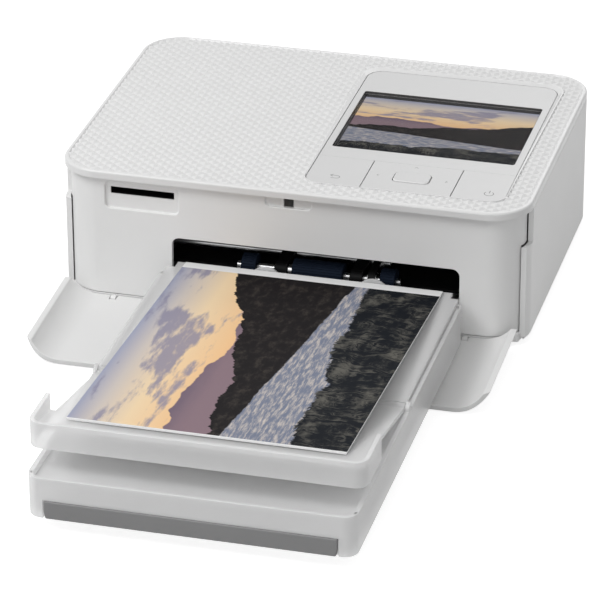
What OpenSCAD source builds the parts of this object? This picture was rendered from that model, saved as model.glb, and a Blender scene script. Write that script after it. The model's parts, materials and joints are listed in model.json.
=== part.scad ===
// Compact dye-sublimation photo printer with its paper cassette in place and the front door open.
// Millimetres. X to the right, Y to the back, Z up. The origin is on the table, under the centre of the
// whole outline with the cassette in place. The modules work about the body's own centre, and placed()
// moves each piece from there to the origin.

/* [Body] */
// Width of the lid, side to side
body_w = 182.2; // [180:0.2:188]
// Depth of the lid, front to back
body_d = 133; // [131:0.5:137]
// Height from the table to the top of the lid
body_h = 57.6; // [57.2:0.1:61]
// Corner radius of the lid in plan
corner_r = 16; // [13:0.5:18]
// Wall of the outer shells
wall = 2; // [1.6:0.1:2.2]
// Height of the rubber feet
foot_h = 1.5; // [1.2:0.1:1.8]
// Radius of a rubber foot
foot_r = 5; // [3.5:0.5:7]
// Thickness of the floor
floor_t = 2; // [1.6:0.1:2.2]
// Height of the low rim round the floor
case_rim = 1.5; // [1:0.1:2]
// Depth of the lid's rim below its top face
rim_h = 3; // [2.6:0.1:3.4]
// Thickness of the lid's top plate
lid_t = 2; // [1.6:0.1:2.2]
// How far the front panel stands back from the lid's rim
face_set = 2.5; // [2.4:0.1:3.2]
// How far the front panel reaches back behind the side panels
front_lap = 3; // [1:0.5:5]
// Visible gap between two outer shells
seam = 0.3; // [0.25:0.05:0.4]

/* [Front] */
// Offset of the paper path's centre from the body's centre
path_x = 10.2; // [8:0.2:12]
// Width of the print and cassette opening
slot_w = 111.8; // [111:0.2:114]
// Height of the opening's top edge above the table
slot_top = 31.8; // [30:0.2:34]
// Radius of the opening's top corners
slot_r = 3; // [1:0.5:5]
// Centre of the card recess, left of the body's centre
card_x = 57.4; // [56:0.2:60]
// Width of the card recess
card_w = 29; // [28:0.5:32]
// Height of the card recess
card_h = 11; // [8:0.5:11.5]
// Height of the middle of the card recess
card_z = 47; // [46:0.2:48]
// Depth of the card recess
card_deep = 1.2; // [0.6:0.1:1.3]
// Width of the card slot
sd_w = 25; // [24.6:0.1:26]
// Height of the card slot
sd_h = 2.9; // [2.5:0.1:3.4]
// Width of the latch recess
latch_w = 18; // [14:0.5:22]
// Height of the latch recess
latch_h = 3.8; // [3.2:0.1:4.4]
// Height of the middle of the latch recess
latch_z = 51.4; // [50:0.2:52]
// Width of the latch hole
latch_hole = 3.8; // [2:0.1:5]

/* [Front door] */
// Thickness of the door
door_t = 2; // [1.8:0.1:2.2]
// Height of the door's pins above the table
pin_z = 3.6; // [3.4:0.1:4]
// Radius of the door's pins
pin_r = 0.7; // [0.5:0.05:0.8]
// Distance of each hinge lug from the centre
lug_x = 69; // [67:0.5:70]
// Width of a hinge lug
lug_w = 2; // [1.6:0.1:3]
// Depth of the wings that wrap round the sides
wing = 8; // [6:0.5:9]
// Radius of the door's free corners
door_r = 12; // [6:0.5:16]
// Angle by which the open door hangs below level
door_droop = 2.6; // [2:0.1:2.7]
// Height where the side panels step back for the finger notch
step_z = 40.3; // [36:0.5:44]
// How far the side panels step back above that height
step_d = 6; // [3:0.5:7]

/* [Control panel] */
// Left edge of the control panel
panel_x = 3; // [1:0.2:6]
// Width of the control panel
panel_w = 77.3; // [76:0.1:80]
// Front edge of the control panel, along Y from the lid's centre
panel_y = -55.4; // [-56.5:0.1:-54]
// Length of the control panel
panel_d = 108.6; // [106:0.2:112]
// Corner radius of the control panel
panel_r = 6.5; // [4:0.5:8]
// Depth of the panel below the lid's top
panel_sink = 0.6; // [0.3:0.1:0.9]
// Width of the screen window, for a 3.5 inch display
screen_w = 71.3; // [68:0.1:72]
// Depth of the screen window
screen_d = 53.6; // [50:0.1:54]
// Gap from the keys to the screen window
screen_gap = 9.5; // [7:0.5:12]
// Thickness of the screen's glass
glass_t = 1; // [0.7:0.1:1.2]
// Front to back length of the keys
key_d = 24.6; // [20:0.2:26]
// Width of the menu key
menu_w = 21.7; // [18:0.1:24]
// Width of the direction pad
pad_w = 34.4; // [32:0.1:38]
// Thickness of the keys
key_t = 1.8; // [1.6:0.1:1.8]
// Travel of each key
key_travel = 0.4; // [0.2:0.05:0.45]
// Width of the confirm key
ok_w = 13.8; // [11:0.1:16]
// Depth of the confirm key
ok_d = 8.2; // [6:0.1:10]
// How far the confirm key stands above the pad
ok_proud = 0.4; // [0.2:0.1:0.7]
// Distance of the confirm key's middle from the front of the pad
ok_y = 13.1; // [11:0.1:14]

/* [Paper cassette] */
// Height of the cassette's underside above the table
box_z = 5; // [4.9:0.1:5.2]
// Height of the cassette box
box_h = 15.7; // [15.2:0.1:16]
// Length of the box in front of the front panel
box_out = 170; // [166:0.5:176]
// Length of the box inside the printer
box_in = 34; // [30:0.5:35]
// Width of the box in front of the shoulders
box_w = 117.2; // [116:0.2:119]
// Side clearance of the box in the opening
box_gap = 0.8; // [0.4:0.1:1]
// Wall of the cassette's plastic
box_wall = 1.6; // [1.4:0.1:1.8]
// Corner radius of the cassette
box_r = 5; // [3:0.5:7]
// Height of the grey front bar
bar_h = 6.9; // [5:0.1:9]
// Thickness of the grey front bar
bar_t = 1.2; // [0.8:0.1:1.5]
// Length of the grey front bar
bar_w = 105; // [98:0.5:106]
// Length of the inner lid in front of the shoulders
inner_d = 84; // [80:0.5:90]
// Thickness of the inner lid
inner_t = 1.1; // [0.8:0.1:1.3]
// Drop of the inner lid's front part, which lies under the folded cover
flap_drop = 3.6; // [3.2:0.1:4]
// Distance of the folded cover's hinge from the front of the box
hinge_d = 80; // [76:0.5:84]
// Width of the folded cover at its front band
cover_w = 120.4; // [119:0.2:124]
// Upward slope of the folded cover
cover_slope = 10.6; // [9:0.1:12]
// Thickness of the folded cover
cover_t = 1.4; // [1:0.1:1.6]
// Height of the band round the cover's front
band_h = 10; // [8:0.5:11]
// Length of the band's returns along the sides
band_d = 22; // [16:0.5:26]
// Distance from the front of the band to the front of the box
band_back = 8; // [6:0.5:12]
// Radius of the cover's hinge pins
cover_pin_r = 0.9; // [0.7:0.05:1]

/* [Paper] */
// Width of the photo paper
paper_w = 100; // [98:0.5:101]
// Length of the finished print
print_l = 148; // [146:0.5:149]
// Thickness given to the print
print_t = 0.6; // [0.4:0.1:0.7]
// Length of a blank sheet with its tear-off ends
sheet_l = 178; // [170:1:182]
// Height of the stack of blank sheets
stack_h = 7; // [3:0.5:7.2]

/* [Pickup] */
// Distance of the pickup shaft behind the front panel's face
pick_back = 6.6; // [6.2:0.1:7.5]
// Height of the pickup shaft
pick_z = 20.4; // [20:0.1:21.5]
// Radius of the pickup rollers
pick_r = 5; // [4.5:0.1:5.2]
// Radius of the pickup shaft
pick_shaft_r = 1.5; // [1.2:0.1:1.8]

/* [Print engine] */
// Height of the platen roller's centre
platen_z = 16; // [15.5:0.1:16.5]
// Radius of the platen roller
platen_r = 6; // [5.5:0.1:6.3]
// Radius of the engine's shafts
shaft_r = 2; // [1.6:0.1:2.3]
// Distance of the feed roller in front of the back of the body
feed_back = 20.5; // [18.5:0.5:22.5]
// Radius of the feed roller
feed_r = 4.5; // [4:0.1:5]
// Radius of the pinch roller
pinch_r = 3; // [2.5:0.1:3.2]
// Distance of each ribbon spool from the platen's centre line
spool_y = 26; // [25:0.5:27]
// Height of the spools
spool_z = 34.5; // [34:0.1:35]
// Radius of the spool housings
spool_case_r = 11; // [10:0.2:11]
// Radius of the full ribbon roll
supply_r = 8.5; // [7:0.1:9]
// Radius of the used ribbon roll
takeup_r = 5.5; // [4:0.1:7]
// Width of the thermal head
head_w = 104; // [102:0.5:106]
// Thickness of the chassis side plates
plate_t = 1.2; // [1:0.1:1.6]
// Distance between the chassis side plates
plate_gap = 122.8; // [121.5:0.2:124]
// Module of the gear teeth
gear_m = 0.8; // [0.75:0.01:0.82]
// Thickness of the gears
gear_t = 3; // [2.4:0.1:3.2]
// Teeth of the platen and feed gears
teeth_main = 24; // [22:1:25]
// Teeth of the large idler
teeth_idler = 35; // [34:1:36]
// Teeth of the motor pinion
teeth_pinion = 12; // [11:1:13]
// Teeth of the pickup idler
teeth_pick = 23; // [22:1:24]
// Teeth of the counter gear
teeth_counter = 20; // [18:1:21]
// Radius of the motor
motor_r = 12; // [10:0.5:12.5]
// Length of the motor
motor_l = 22; // [18:0.5:24]
// Radius of the fan's blades
fan_r = 11; // [9:0.5:12]

/* [Hidden] */
$fn = 48;
big = 400;
cut = 0.5;
run = 0.06;
snug = 0.02;
apart = 0.3;

white = [0.93, 0.93, 0.93];
frost = [0.8, 0.82, 0.83, 0.6];
black = [0.05, 0.05, 0.06];
steel = [0.72, 0.73, 0.75];
rubber = [0.1, 0.13, 0.2];
acetal = [0.85, 0.85, 0.8];
grey = [0.55, 0.55, 0.55];
board_green = [0.1, 0.35, 0.22];

// Levels and planes of the shells
face_y = -body_d / 2 + face_set;
back_y = body_d / 2;
floor_z = foot_h + floor_t;
shell_z = floor_z + case_rim + seam;
rim_z = body_h - rim_h;
shell_top = rim_z - seam;
side_y = -body_d / 2 + wing;
hinge_y = body_d / 2 - 10;
pin_y = -body_d / 2 + door_t / 2;
post_x = body_w / 2 - 12;
post_y = body_d / 2 - 12.5;
post_r = 3;
screw_r = 1.25;
screw_head_r = 2.5;
screw_head_h = 1.4;
foot_in = 14;

// Pin of the side cover, as [X, Y]
side_pin = [body_w / 2 - wall - 0.2, hinge_y + 0.4];
side_pin_r = 0.8;
side_boss_r = 1.1;
side_pin_up = 1.5;

// Control panel
panel_z = body_h - panel_sink;
ledge_z = body_h - lid_t - 2;
ledge_t = 0.9;
ledge_w = 1.5;
key_gap = 0.25;
key_y = panel_y + key_gap;
bezel_y = key_y + key_d + apart;
screen_y = key_y + key_d + screen_gap;
screen_x = panel_x + (panel_w - screen_w) / 2;
menu_x = panel_x + key_gap;
pad_x = menu_x + menu_w + apart;
power_x = pad_x + pad_w + apart;
power_w = panel_x + panel_w - key_gap - power_x;
ok_x = pad_x + pad_w / 2;
lcd_z = ledge_z - 2.6;
lcd_edge = 0.5;
switch_z = ledge_z - 0.8;
switch_h = 0.9;
switch_r = 1.6;
stem_r = 1.2;
stem_z = switch_z + switch_h + key_travel + 0.1;
pad_reach = 12;
ok_r = 2;
switch_x = [menu_x + menu_w / 2, ok_x, ok_x - pad_reach, ok_x + pad_reach, power_x + power_w / 2];

// Paper cassette
box_top = box_z + box_h;
front_y = face_y - box_out;
shoulder_y = face_y - 4;
nose_w = slot_w - 2 * box_gap;
nose_y = face_y + box_in;
lid_z = box_top + apart;
flap_z = lid_z - flap_drop;
print_z = lid_z + inner_t + apart;
bar_proud = 0.4;
mid_y = (front_y - bar_proud + back_y) / 2;
cover_y = front_y + hinge_d;
cover_z = box_top + 0.2;
cover_eye = cover_pin_r + 1.5;
cover_hub = cover_pin_r + 0.8;
band_y = front_y + band_back;
band_top = cover_z + (cover_y - band_y) * tan(cover_slope) + 3.2;
pivot_w = box_w - 2 * box_wall - 2 * apart;
print_y = face_y - 1.6;
print_tilt = asin((cover_top(print_y - print_l) + apart - print_z) / print_l);
stack_z = box_z + box_wall + 1.4;
function cover_top(y) = cover_z + cover_t / 2 + (cover_y - y) * tan(cover_slope);

// Print engine, as [Y, Z] pairs
platen = [0, platen_z];
path_z = platen_z + platen_r;
feed_y = back_y - feed_back;
feed = [feed_y, path_z - feed_r];
pinch = [feed_y, path_z + 0.6 + pinch_r];
supply = [spool_y, spool_z];
takeup = [-spool_y, spool_z];
pick = [face_y + pick_back, pick_z];
counter = pick + [13.7, 0.6];
arm_pivot = [feed_y + 6, spool_z + spool_case_r - 1.5];
left_x = path_x - plate_gap / 2;
right_x = path_x + plate_gap / 2;
gear_x = left_x - plate_t - 2.3 - gear_t;
gear_clear = 0.2;
plate_front = face_y + 13;
board_front = -spool_y + 2;
beam_w = 3.6;
beam_h = 2.8;
beam_y = -spool_y - spool_case_r - 0.4 - beam_w;
beam_z = slot_top - 0.4;
stud_r = 1.5;
film_t = 0.15;
film_z = path_z + 0.2;
film_flat = 6.5;
head_z = path_z + 0.7;
head_d = 10;
head_t = 3;
case_x0 = left_x + apart;
case_x1 = right_x + plate_t + 3;

// Pickup shaft and its parts, along X
bush_x = [-4.2, 25.2];
bush_w = 5;
shelf_z = pick_z - pick_r + 0.2;
shelf_t = 1.2;
shelf_front = pick[0] + pick_r + 0.6;
small_roller_x = [-19.3, 34.8];
small_roller_w = 5.6;
wide_roller_x = 0.6;
wide_roller_w = 19.5;
belt_x = 29.6;
belt_w = 3.4;
pulley_r = 3;

// Sockets at the back, fan and motor
dc_x = -64;
dc_z = 14;
usb_x = -66;
usb_z = 28;
usb_w = 9.2;
usb_h = 3.4;
vent_z = (path_z + 3 + shell_top) / 2 + 1.4;
vent_h = 10;
fan_x = -body_w / 2 + wall + apart;
fan_at = [spool_y + 4, body_h / 2 - 0.8];
fan_pin_r = 1;
motor_x = gear_x - 2.4;

function pitch_r(teeth) = gear_m * teeth / 2;
function mesh(a, b) = pitch_r(a) + pitch_r(b) + gear_clear;
// Point at distance ra from a and rb from b; side is 1 or -1
function meet(a, ra, b, rb, side) =
    let (d = norm(b - a), u = (b - a) / d, s = (ra * ra - rb * rb + d * d) / (2 * d),
         h = sqrt(max(0, ra * ra - s * s)))
    a + u * s + [-u[1], u[0]] * h * side;
function heading(a, b) = atan2(b[1] - a[1], b[0] - a[0]);
// Turn of gear b so that its gap faces the tooth of gear a
function phase(a, b, teeth_a, turn_a, teeth_b) =
    heading(a, b) + 180 - (0.5 - (heading(a, b) - turn_a) * teeth_a / 360) * 360 / teeth_b;
idler = meet(platen, mesh(teeth_main, teeth_idler), feed, mesh(teeth_main, teeth_idler), 1);
pinion = platen + mesh(teeth_main, teeth_pinion) * [-cos(30), sin(30)];
pick_idler = meet(pinion, mesh(teeth_pinion, teeth_pick), counter, mesh(teeth_counter, teeth_pick), -1);
idler_turn = phase(platen, idler, teeth_main, 0, teeth_idler);
feed_turn = phase(idler, feed, teeth_idler, idler_turn, teeth_main);
pinion_turn = phase(platen, pinion, teeth_main, 0, teeth_pinion);
pick_turn = phase(pinion, pick_idler, teeth_pinion, pinion_turn, teeth_pick);
counter_turn = phase(pick_idler, counter, teeth_pick, pick_turn, teeth_counter);

// ---- Shared shapes ----

module placed() {
    translate([0, -mid_y, 0]) children();
}

// Rectangle with round corners about the origin
module rrect(w, d, r) {
    square([w - 2 * r, d], center = true);
    square([w, d - 2 * r], center = true);
    for (x = [-1, 1], y = [-1, 1])
        translate([x * (w / 2 - r), y * (d / 2 - r)]) circle(r);
}

// Plan outline of the body, moved in by inset
module outline(inset) {
    rrect(body_w - 2 * inset, body_d - 2 * inset, corner_r - inset);
}

// Solid from a plan shape between two heights
module slab(z0, z1) {
    translate([0, 0, z0]) linear_extrude(z1 - z0) children();
}

// Ring of shell between two insets and two heights
module shell(inset, t, z0, z1) {
    slab(z0, z1) difference() {
        outline(inset);
        outline(inset + t);
    }
}

// Box from its low corner to its high corner
module block(a, b) {
    translate(a) cube(b - a);
}

// Children placed with their Z along X, at the [Y, Z] pair p
module on_x(p, x) {
    translate([x, p[0], p[1]]) rotate([90, 0, 90]) children();
}

// Round bar along X
module rod(p, x0, x1, r) {
    on_x(p, x0) cylinder(h = x1 - x0, r = r);
}

// Tube along X
module tube_x(p, x0, x1, r_out, r_in) {
    difference() {
        rod(p, x0, x1, r_out);
        rod(p, x0 - cut, x1 + cut, r_in);
    }
}

// Spur gear along X with straight-sided teeth, turned by turn degrees
module gear(p, x, teeth, turn, bore) {
    root = pitch_r(teeth) - 1.15 * gear_m;
    tip = pitch_r(teeth) + 0.9 * gear_m;
    step = 360 / teeth;
    on_x(p, x) rotate(turn) linear_extrude(gear_t) difference() {
        polygon([for (i = [0:teeth - 1], k = [[-0.3, root], [-0.12, tip], [0.12, tip], [0.3, root]])
            k[1] * [cos((i + k[0]) * step), sin((i + k[0]) * step)]]);
        circle(bore);
    }
}

// Row of upright slots along X, for cutting through a wall
module vent_row(x0, pitch, count, y0, y1, z0, z1, w) {
    for (i = [0:count - 1])
        block([x0 + i * pitch, y0, z0], [x0 + i * pitch + w, y1, z1]);
}

// ---- Outer shells ----

// Plan of the case: full width behind the door's wings, set back in front
module case_plan() {
    outline(face_set);
    difference() {
        outline(0);
        translate([0, side_y - body_d]) square([big, 2 * body_d], center = true);
    }
}

// Hinge lug for one of the door's pins
module lug(x) {
    difference() {
        union() {
            rod([pin_y, pin_z], x - lug_w / 2, x + lug_w / 2, pin_r + 0.8);
            block([x - lug_w / 2, pin_y, pin_z - pin_r - 0.8], [x + lug_w / 2, face_y + wall, floor_z]);
        }
        rod([pin_y, pin_z], x - lug_w, x + lug_w, pin_r + run);
    }
}

module bottom_case() {
    color(white) difference() {
        union() {
            slab(foot_h, floor_z) case_plan();
            slab(foot_h, floor_z + case_rim) difference() {
                case_plan();
                outline(face_set + wall);
                translate([path_x, face_y]) square([slot_w, body_d / 2], center = true);
            }
            for (x = [-1, 1], y = [-1, 1])
                translate([x * post_x, y * post_y, foot_h])
                    cylinder(h = ledge_z - foot_h - 2, r = post_r);
            for (x = [-1, 1])
                block([path_x + x * 50 - 1.5, face_y + wall, foot_h],
                      [path_x + x * 50 + 1.5, nose_y, box_z - apart]);
            for (x = [left_x + 8, right_x - 8], y = [-15, back_y - 12])
                translate([x, y, foot_h]) cylinder(h = floor_t + 2, r = 2.2);
            for (x = [-lug_x, lug_x]) lug(x);
        }
        for (x = [-1, 1], y = [-1, 1]) translate([x * post_x, y * post_y, foot_h - cut]) {
            cylinder(h = screw_head_h + cut, r = screw_head_r + apart);
            cylinder(h = 16, r = screw_r + run);
        }
        translate([side_pin[0], side_pin[1], floor_z]) cylinder(h = case_rim + cut, r = side_pin_r + run);
    }
}

module card_cuts() {
    translate([-card_x, face_y - cut, card_z]) rotate([-90, 0, 0])
        linear_extrude(card_deep + cut) rrect(card_w, card_h, 2);
    block([-card_x - sd_w / 2, face_y - cut, card_z + 0.1], [-card_x + sd_w / 2, face_y + wall + cut,
          card_z + 0.1 + sd_h]);
}

module latch_cuts() {
    translate([0, face_y - cut, latch_z]) rotate([-90, 0, 0])
        linear_extrude(1 + cut) rrect(latch_w, latch_h, latch_h / 2 - 0.01);
    block([-latch_hole / 2, face_y - cut, latch_z - latch_h / 2],
          [latch_hole / 2, face_y + wall + cut, latch_z + latch_h / 2]);
}

module front_panel() {
    color(white) difference() {
        intersection() {
            shell(face_set, wall, shell_z, shell_top);
            union() {
                block([-big, -body_d, 0], [big, side_y + front_lap, body_h]);
                block([-big, -body_d, step_z + seam], [big, side_y + step_d - seam, body_h]);
            }
        }
        translate([path_x, face_y - cut, slot_top / 2]) rotate([-90, 0, 0])
            linear_extrude(wall + 2 * cut) union() {
                rrect(slot_w, slot_top, slot_r);
                translate([0, slot_top / 4]) square([slot_w, slot_top / 2], center = true);
            }
        card_cuts();
        latch_cuts();
    }
}

// Side wall between the door's wing and the rear panel; side is 1 on the right
module side_wall(side) {
    intersection() {
        shell(0, wall, shell_z, shell_top);
        union() {
            block([min(0, side * big), side_y, 0], [max(0, side * big), hinge_y, step_z]);
            block([min(0, side * big), side_y + step_d, 0], [max(0, side * big), hinge_y, body_h]);
        }
    }
}

module left_panel() {
    color(white) difference() {
        side_wall(-1);
        for (i = [-3:3])
            block([-body_w, fan_at[0] + i * 4 - 1, fan_at[1] - 9],
                  [-body_w / 2 + wall + cut, fan_at[0] + i * 4 + 1, fan_at[1] + 9]);
    }
}

module rear_panel() {
    color(white) difference() {
        intersection() {
            shell(0, wall, shell_z, shell_top);
            union() {
                block([-big, hinge_y + seam, 0], [0, body_d, body_h]);
                block([-big, side_pin[1] + side_boss_r + apart, 0], [big, body_d, body_h]);
            }
        }
        block([path_x - paper_w / 2 - 3, 0, path_z - 2.5], [path_x + paper_w / 2 + 3, body_d, path_z + 3]);
        vent_row(-40, 5, 17, back_y - wall - cut, back_y + cut,
                 vent_z - vent_h / 2, vent_z + vent_h / 2, 2.4);
        translate([dc_x, back_y + cut, dc_z]) rotate([90, 0, 0]) cylinder(h = wall + 2 * cut, r = 4.2);
        block([usb_x - usb_w / 2 - 0.2, back_y - wall - cut, usb_z - usb_h / 2 - 0.2],
              [usb_x + usb_w / 2 + 0.2, back_y + cut, usb_z + usb_h / 2 + 0.2]);
    }
}

module panel_plan(grow) {
    translate([panel_x + panel_w / 2, panel_y + panel_d / 2])
        rrect(panel_w + 2 * grow, panel_d + 2 * grow, panel_r + grow);
}

module top_cover() {
    color(white) difference() {
        union() {
            slab(body_h - lid_t, body_h) outline(0);
            shell(0, 3, rim_z, body_h - lid_t);
            shell(face_set + wall + seam, 1.2, rim_z - 1.8, body_h - lid_t);
            slab(ledge_z, body_h - lid_t) panel_plan(2);
            for (x = [-1, 1], y = [-1, 1])
                translate([x * post_x, y * post_y, ledge_z - 1.7])
                    cylinder(h = body_h - lid_t - ledge_z + 1.7, r = post_r);
        }
        slab(ledge_z + ledge_t, body_h + cut) panel_plan(0);
        slab(ledge_z - cut, body_h) panel_plan(-ledge_w);
        translate([side_pin[0], side_pin[1], rim_z - cut])
            cylinder(h = side_pin_up + cut, r = side_pin_r + run);
    }
}

module feet() {
    color([0.2, 0.2, 0.21]) for (x = [-1, 1], y = [-1, 1])
        translate([x * (post_x - foot_in), y * (post_y - 2)]) cylinder(h = foot_h, r = foot_r);
}

module case_screws() {
    color(steel) for (x = [-1, 1], y = [-1, 1]) translate([x * post_x, y * post_y, foot_h]) difference() {
        union() {
            cylinder(h = screw_head_h, r = screw_head_r);
            cylinder(h = 12, r = screw_r);
        }
        translate([0, 0, -cut]) for (a = [0, 90])
            rotate(a) cube([2.8, 0.6, 2 * cut + 0.8], center = true);
    }
}

// ---- Front door ----

// Door as it stands when closed
module door_closed() {
    door_top = rim_z - seam - 0.1;
    door_low = pin_z - 1.2;
    difference() {
        intersection() {
            shell(0, door_t, door_low, door_top);
            block([-big, -body_d, 0], [big, side_y - apart, body_h]);
            translate([0, 0, door_low]) rotate([90, 0, 0]) linear_extrude(body_d) union() {
                translate([0, (door_top - door_low) / 2]) rrect(body_w, door_top - door_low, door_r);
                square([body_w, door_top - door_low], center = true);
            }
        }
        for (x = [-lug_x, lug_x])
            block([x - lug_w / 2 - apart, -body_d, door_low - cut],
                  [x + lug_w / 2 + apart, 0, pin_z + pin_r + 1.3]);
    }
    for (x = [-lug_x, lug_x])
        rod([pin_y, pin_z], x - lug_w / 2 - 1.5, x + lug_w / 2 + 1.5, pin_r);
}

module front_door() {
    color(white) translate([0, pin_y, pin_z]) rotate([90 + door_droop, 0, 0])
        translate([0, -pin_y, -pin_z]) door_closed();
}

// ---- Ribbon compartment cover ----

module ribbon_cover() {
    color(white) {
        side_wall(1);
        translate([side_pin[0], side_pin[1], shell_z - case_rim])
            cylinder(h = shell_top - shell_z + case_rim + side_pin_up, r = side_pin_r);
        intersection() {
            shell(0, wall, shell_z, shell_top);
            translate([side_pin[0], side_pin[1], 0]) cylinder(h = body_h, r = side_boss_r);
        }
    }
}

// ---- Control panel ----

module panel_bezel() {
    color(white) difference() {
        intersection() {
            slab(ledge_z + ledge_t + 0.1, panel_z) panel_plan(-key_gap);
            block([-big, bezel_y, 0], [big, big, big]);
        }
        slab(0, big) translate([screen_x + screen_w / 2, screen_y + screen_d / 2])
            rrect(screen_w, screen_d, 1);
    }
}

module screen_glass() {
    color(black) slab(panel_z - 0.1 - glass_t, panel_z - 0.1)
        translate([screen_x + screen_w / 2, screen_y + screen_d / 2])
            rrect(screen_w - 2 * snug, screen_d - 2 * snug, 1);
}

module lcd_module() {
    color(black) difference() {
        block([screen_x - lcd_edge, screen_y - 3 * lcd_edge, lcd_z],
              [screen_x + screen_w + lcd_edge, screen_y + screen_d + 3 * lcd_edge, panel_z - glass_t - 0.2]);
        difference() {
            block([0, -big, ledge_z - apart], [big, big, big]);
            block([screen_x + lcd_edge, screen_y + lcd_edge, 0],
                  [screen_x + screen_w - lcd_edge, screen_y + screen_d - lcd_edge, big]);
        }
    }
}

module button_board() {
    color(board_green) block([panel_x + 0.5, key_y + 0.5, switch_z - 1],
                             [min(panel_x + panel_w, post_x - post_r) - 0.5, key_y + key_d - 1, switch_z]);
}

module key_switches() {
    color(black) for (x = switch_x)
        translate([x, key_y + ok_y, switch_z]) cylinder(h = switch_h, r = switch_r);
}

// Stem under a key, down to its switch
module stem(x) {
    translate([x, key_y + ok_y, stem_z]) cylinder(h = panel_z - 0.5 - stem_z, r = stem_r);
}

// Key plate between two X values, rounded where it meets the panel's corners
module key_plate(x0, x1) {
    intersection() {
        slab(panel_z - key_t, panel_z) panel_plan(-key_gap);
        block([x0, key_y, 0], [x1, key_y + key_d, big]);
    }
}

module menu_button() {
    color(white) {
        key_plate(menu_x, menu_x + menu_w);
        stem(switch_x[0]);
    }
}

module power_button() {
    color(white) {
        key_plate(power_x, power_x + power_w);
        stem(switch_x[4]);
    }
}

module pad_button() {
    color(white) difference() {
        union() {
            key_plate(pad_x, pad_x + pad_w);
            for (x = [switch_x[2], switch_x[3]]) stem(x);
        }
        slab(0, big) translate([ok_x, key_y + ok_y]) 
            rrect(ok_w + 2 * apart, ok_d + 2 * apart, ok_r + apart);
    }
}

module ok_button() {
    color(white) {
        slab(panel_z - key_t, panel_z + ok_proud) translate([ok_x, key_y + ok_y]) rrect(ok_w, ok_d, ok_r);
        stem(ok_x);
    }
}

// ---- Chassis ----

module shaft_holes(x0) {
    for (p = [platen, feed]) rod(p, x0 - cut, x0 + plate_t + cut, shaft_r + run);
    rod(pinch, x0 - cut, x0 + plate_t + cut, stud_r + run);
    rod(arm_pivot, x0 - cut, x0 + plate_t + cut, shaft_r + run);
    rod(counter, x0 - cut, x0 + plate_t + cut, pick_shaft_r + run);
}

module side_plate(x0, front_top) {
    difference() {
        union() {
            block([x0, plate_front, floor_z + apart], [x0 + plate_t, feed_y, front_top]);
            block([x0, 0, floor_z + apart], [x0 + plate_t, back_y - 6, arm_pivot[1] + shaft_r + 3]);
        }
        shaft_holes(x0);
        block([x0 - cut, nose_y, 0], [x0 + plate_t + cut, -platen_r - 6, platen_z - 3]);
    }
}

module chassis_left() {
    color(steel) union() {
        side_plate(left_x - plate_t, card_z - card_h / 2 + 4);
        for (p = [idler, pick_idler]) {
            rod(p, gear_x - 0.9, left_x - plate_t, stud_r);
            rod(p, gear_x + gear_t + apart, left_x - plate_t, stud_r + 1.1);
            rod(p, gear_x - 0.9, gear_x - apart, stud_r + 0.7);
        }
    }
}

module chassis_right() {
    color(steel) difference() {
        side_plate(right_x, arm_pivot[1] + shaft_r + 3);
        translate([right_x - cut, 0, 0]) ribbon_profile(plate_t + 2 * cut, apart);
    }
}

module cross_bars() {
    color(steel) for (y = [beam_y, back_y - 7 - beam_w])
        block([left_x, y, beam_z], [right_x, y + beam_w, beam_z + beam_h]);
}

// ---- Boards, sockets and motor ----

module main_board() {
    color(board_green) block([left_x + 4, board_front, floor_z + 2],
                             [right_x - 4, back_y - 8, floor_z + 3.4]);
    color(black) {
        block([left_x + 20, 12, floor_z + 3.4], [left_x + 34, 26, floor_z + 4.6]);
        block([left_x + 60, 14, floor_z + 3.4], [left_x + 69, 23, floor_z + 4.4]);
        block([left_x + 88, board_front + 2, floor_z + 3.4], [left_x + 100, board_front + 10, floor_z + 5]);
    }
}

module card_socket() {
    z0 = card_z + 0.1 - 1;
    color(steel) difference() {
        block([-card_x - sd_w / 2 - 1.2, face_y + wall + apart, z0],
              [-card_x + sd_w / 2 + 1.2, face_y + wall + 30, z0 + sd_h + 2]);
        block([-card_x - sd_w / 2, face_y, z0 + 1], [-card_x + sd_w / 2, face_y + wall + 28, z0 + 1 + sd_h]);
    }
}

module dc_inlet() {
    color(black) difference() {
        union() {
            translate([dc_x, back_y - 0.3, dc_z]) rotate([90, 0, 0]) cylinder(h = 6, r = 4);
            block([dc_x - 5, back_y - 14, dc_z - 5], [dc_x + 5, back_y - wall - apart, dc_z + 5]);
        }
        translate([dc_x, back_y, dc_z]) rotate([90, 0, 0]) cylinder(h = 10, r = 2.8);
    }
    color(steel) translate([dc_x, back_y - 1.5, dc_z]) rotate([90, 0, 0]) cylinder(h = 9, r = 0.9);
}

module usb_port() {
    color(steel) difference() {
        block([usb_x - usb_w / 2, back_y - 8, usb_z - usb_h / 2], [usb_x + usb_w / 2, back_y - 0.3,
              usb_z + usb_h / 2]);
        block([usb_x - usb_w / 2 + 0.4, back_y - 7, usb_z - usb_h / 2 + 0.4],
              [usb_x + usb_w / 2 - 0.4, back_y, usb_z + usb_h / 2 - 0.4]);
    }
    color(black) block([usb_x - usb_w / 2 + 1.4, back_y - 7.1, usb_z - 0.35],
                       [usb_x + usb_w / 2 - 1.4, back_y - 1.5, usb_z + 0.35]);
}

module motor() {
    color(steel) {
        rod(pinion, motor_x - 1.2 - motor_l, motor_x - 1.2, motor_r);
        rod(pinion, motor_x - 1.2, gear_x + gear_t, 1 - run);
    }
}

module motor_bracket() {
    color(steel) difference() {
        union() {
            block([motor_x - 1.2, pinion[0] - motor_r - 2, floor_z + apart],
                  [motor_x, pinion[0] + motor_r + 2, pinion[1] + motor_r + 2]);
            block([motor_x - motor_r, pinion[0] - motor_r - 2, floor_z + apart],
                  [motor_x, pinion[0] + motor_r + 2, floor_z + apart + 1.2]);
        }
        rod(pinion, motor_x - 3, motor_x + cut, 3);
    }
}

module motor_pinion() {
    color(acetal) gear(pinion, gear_x, teeth_pinion, pinion_turn, 1);
}

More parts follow.
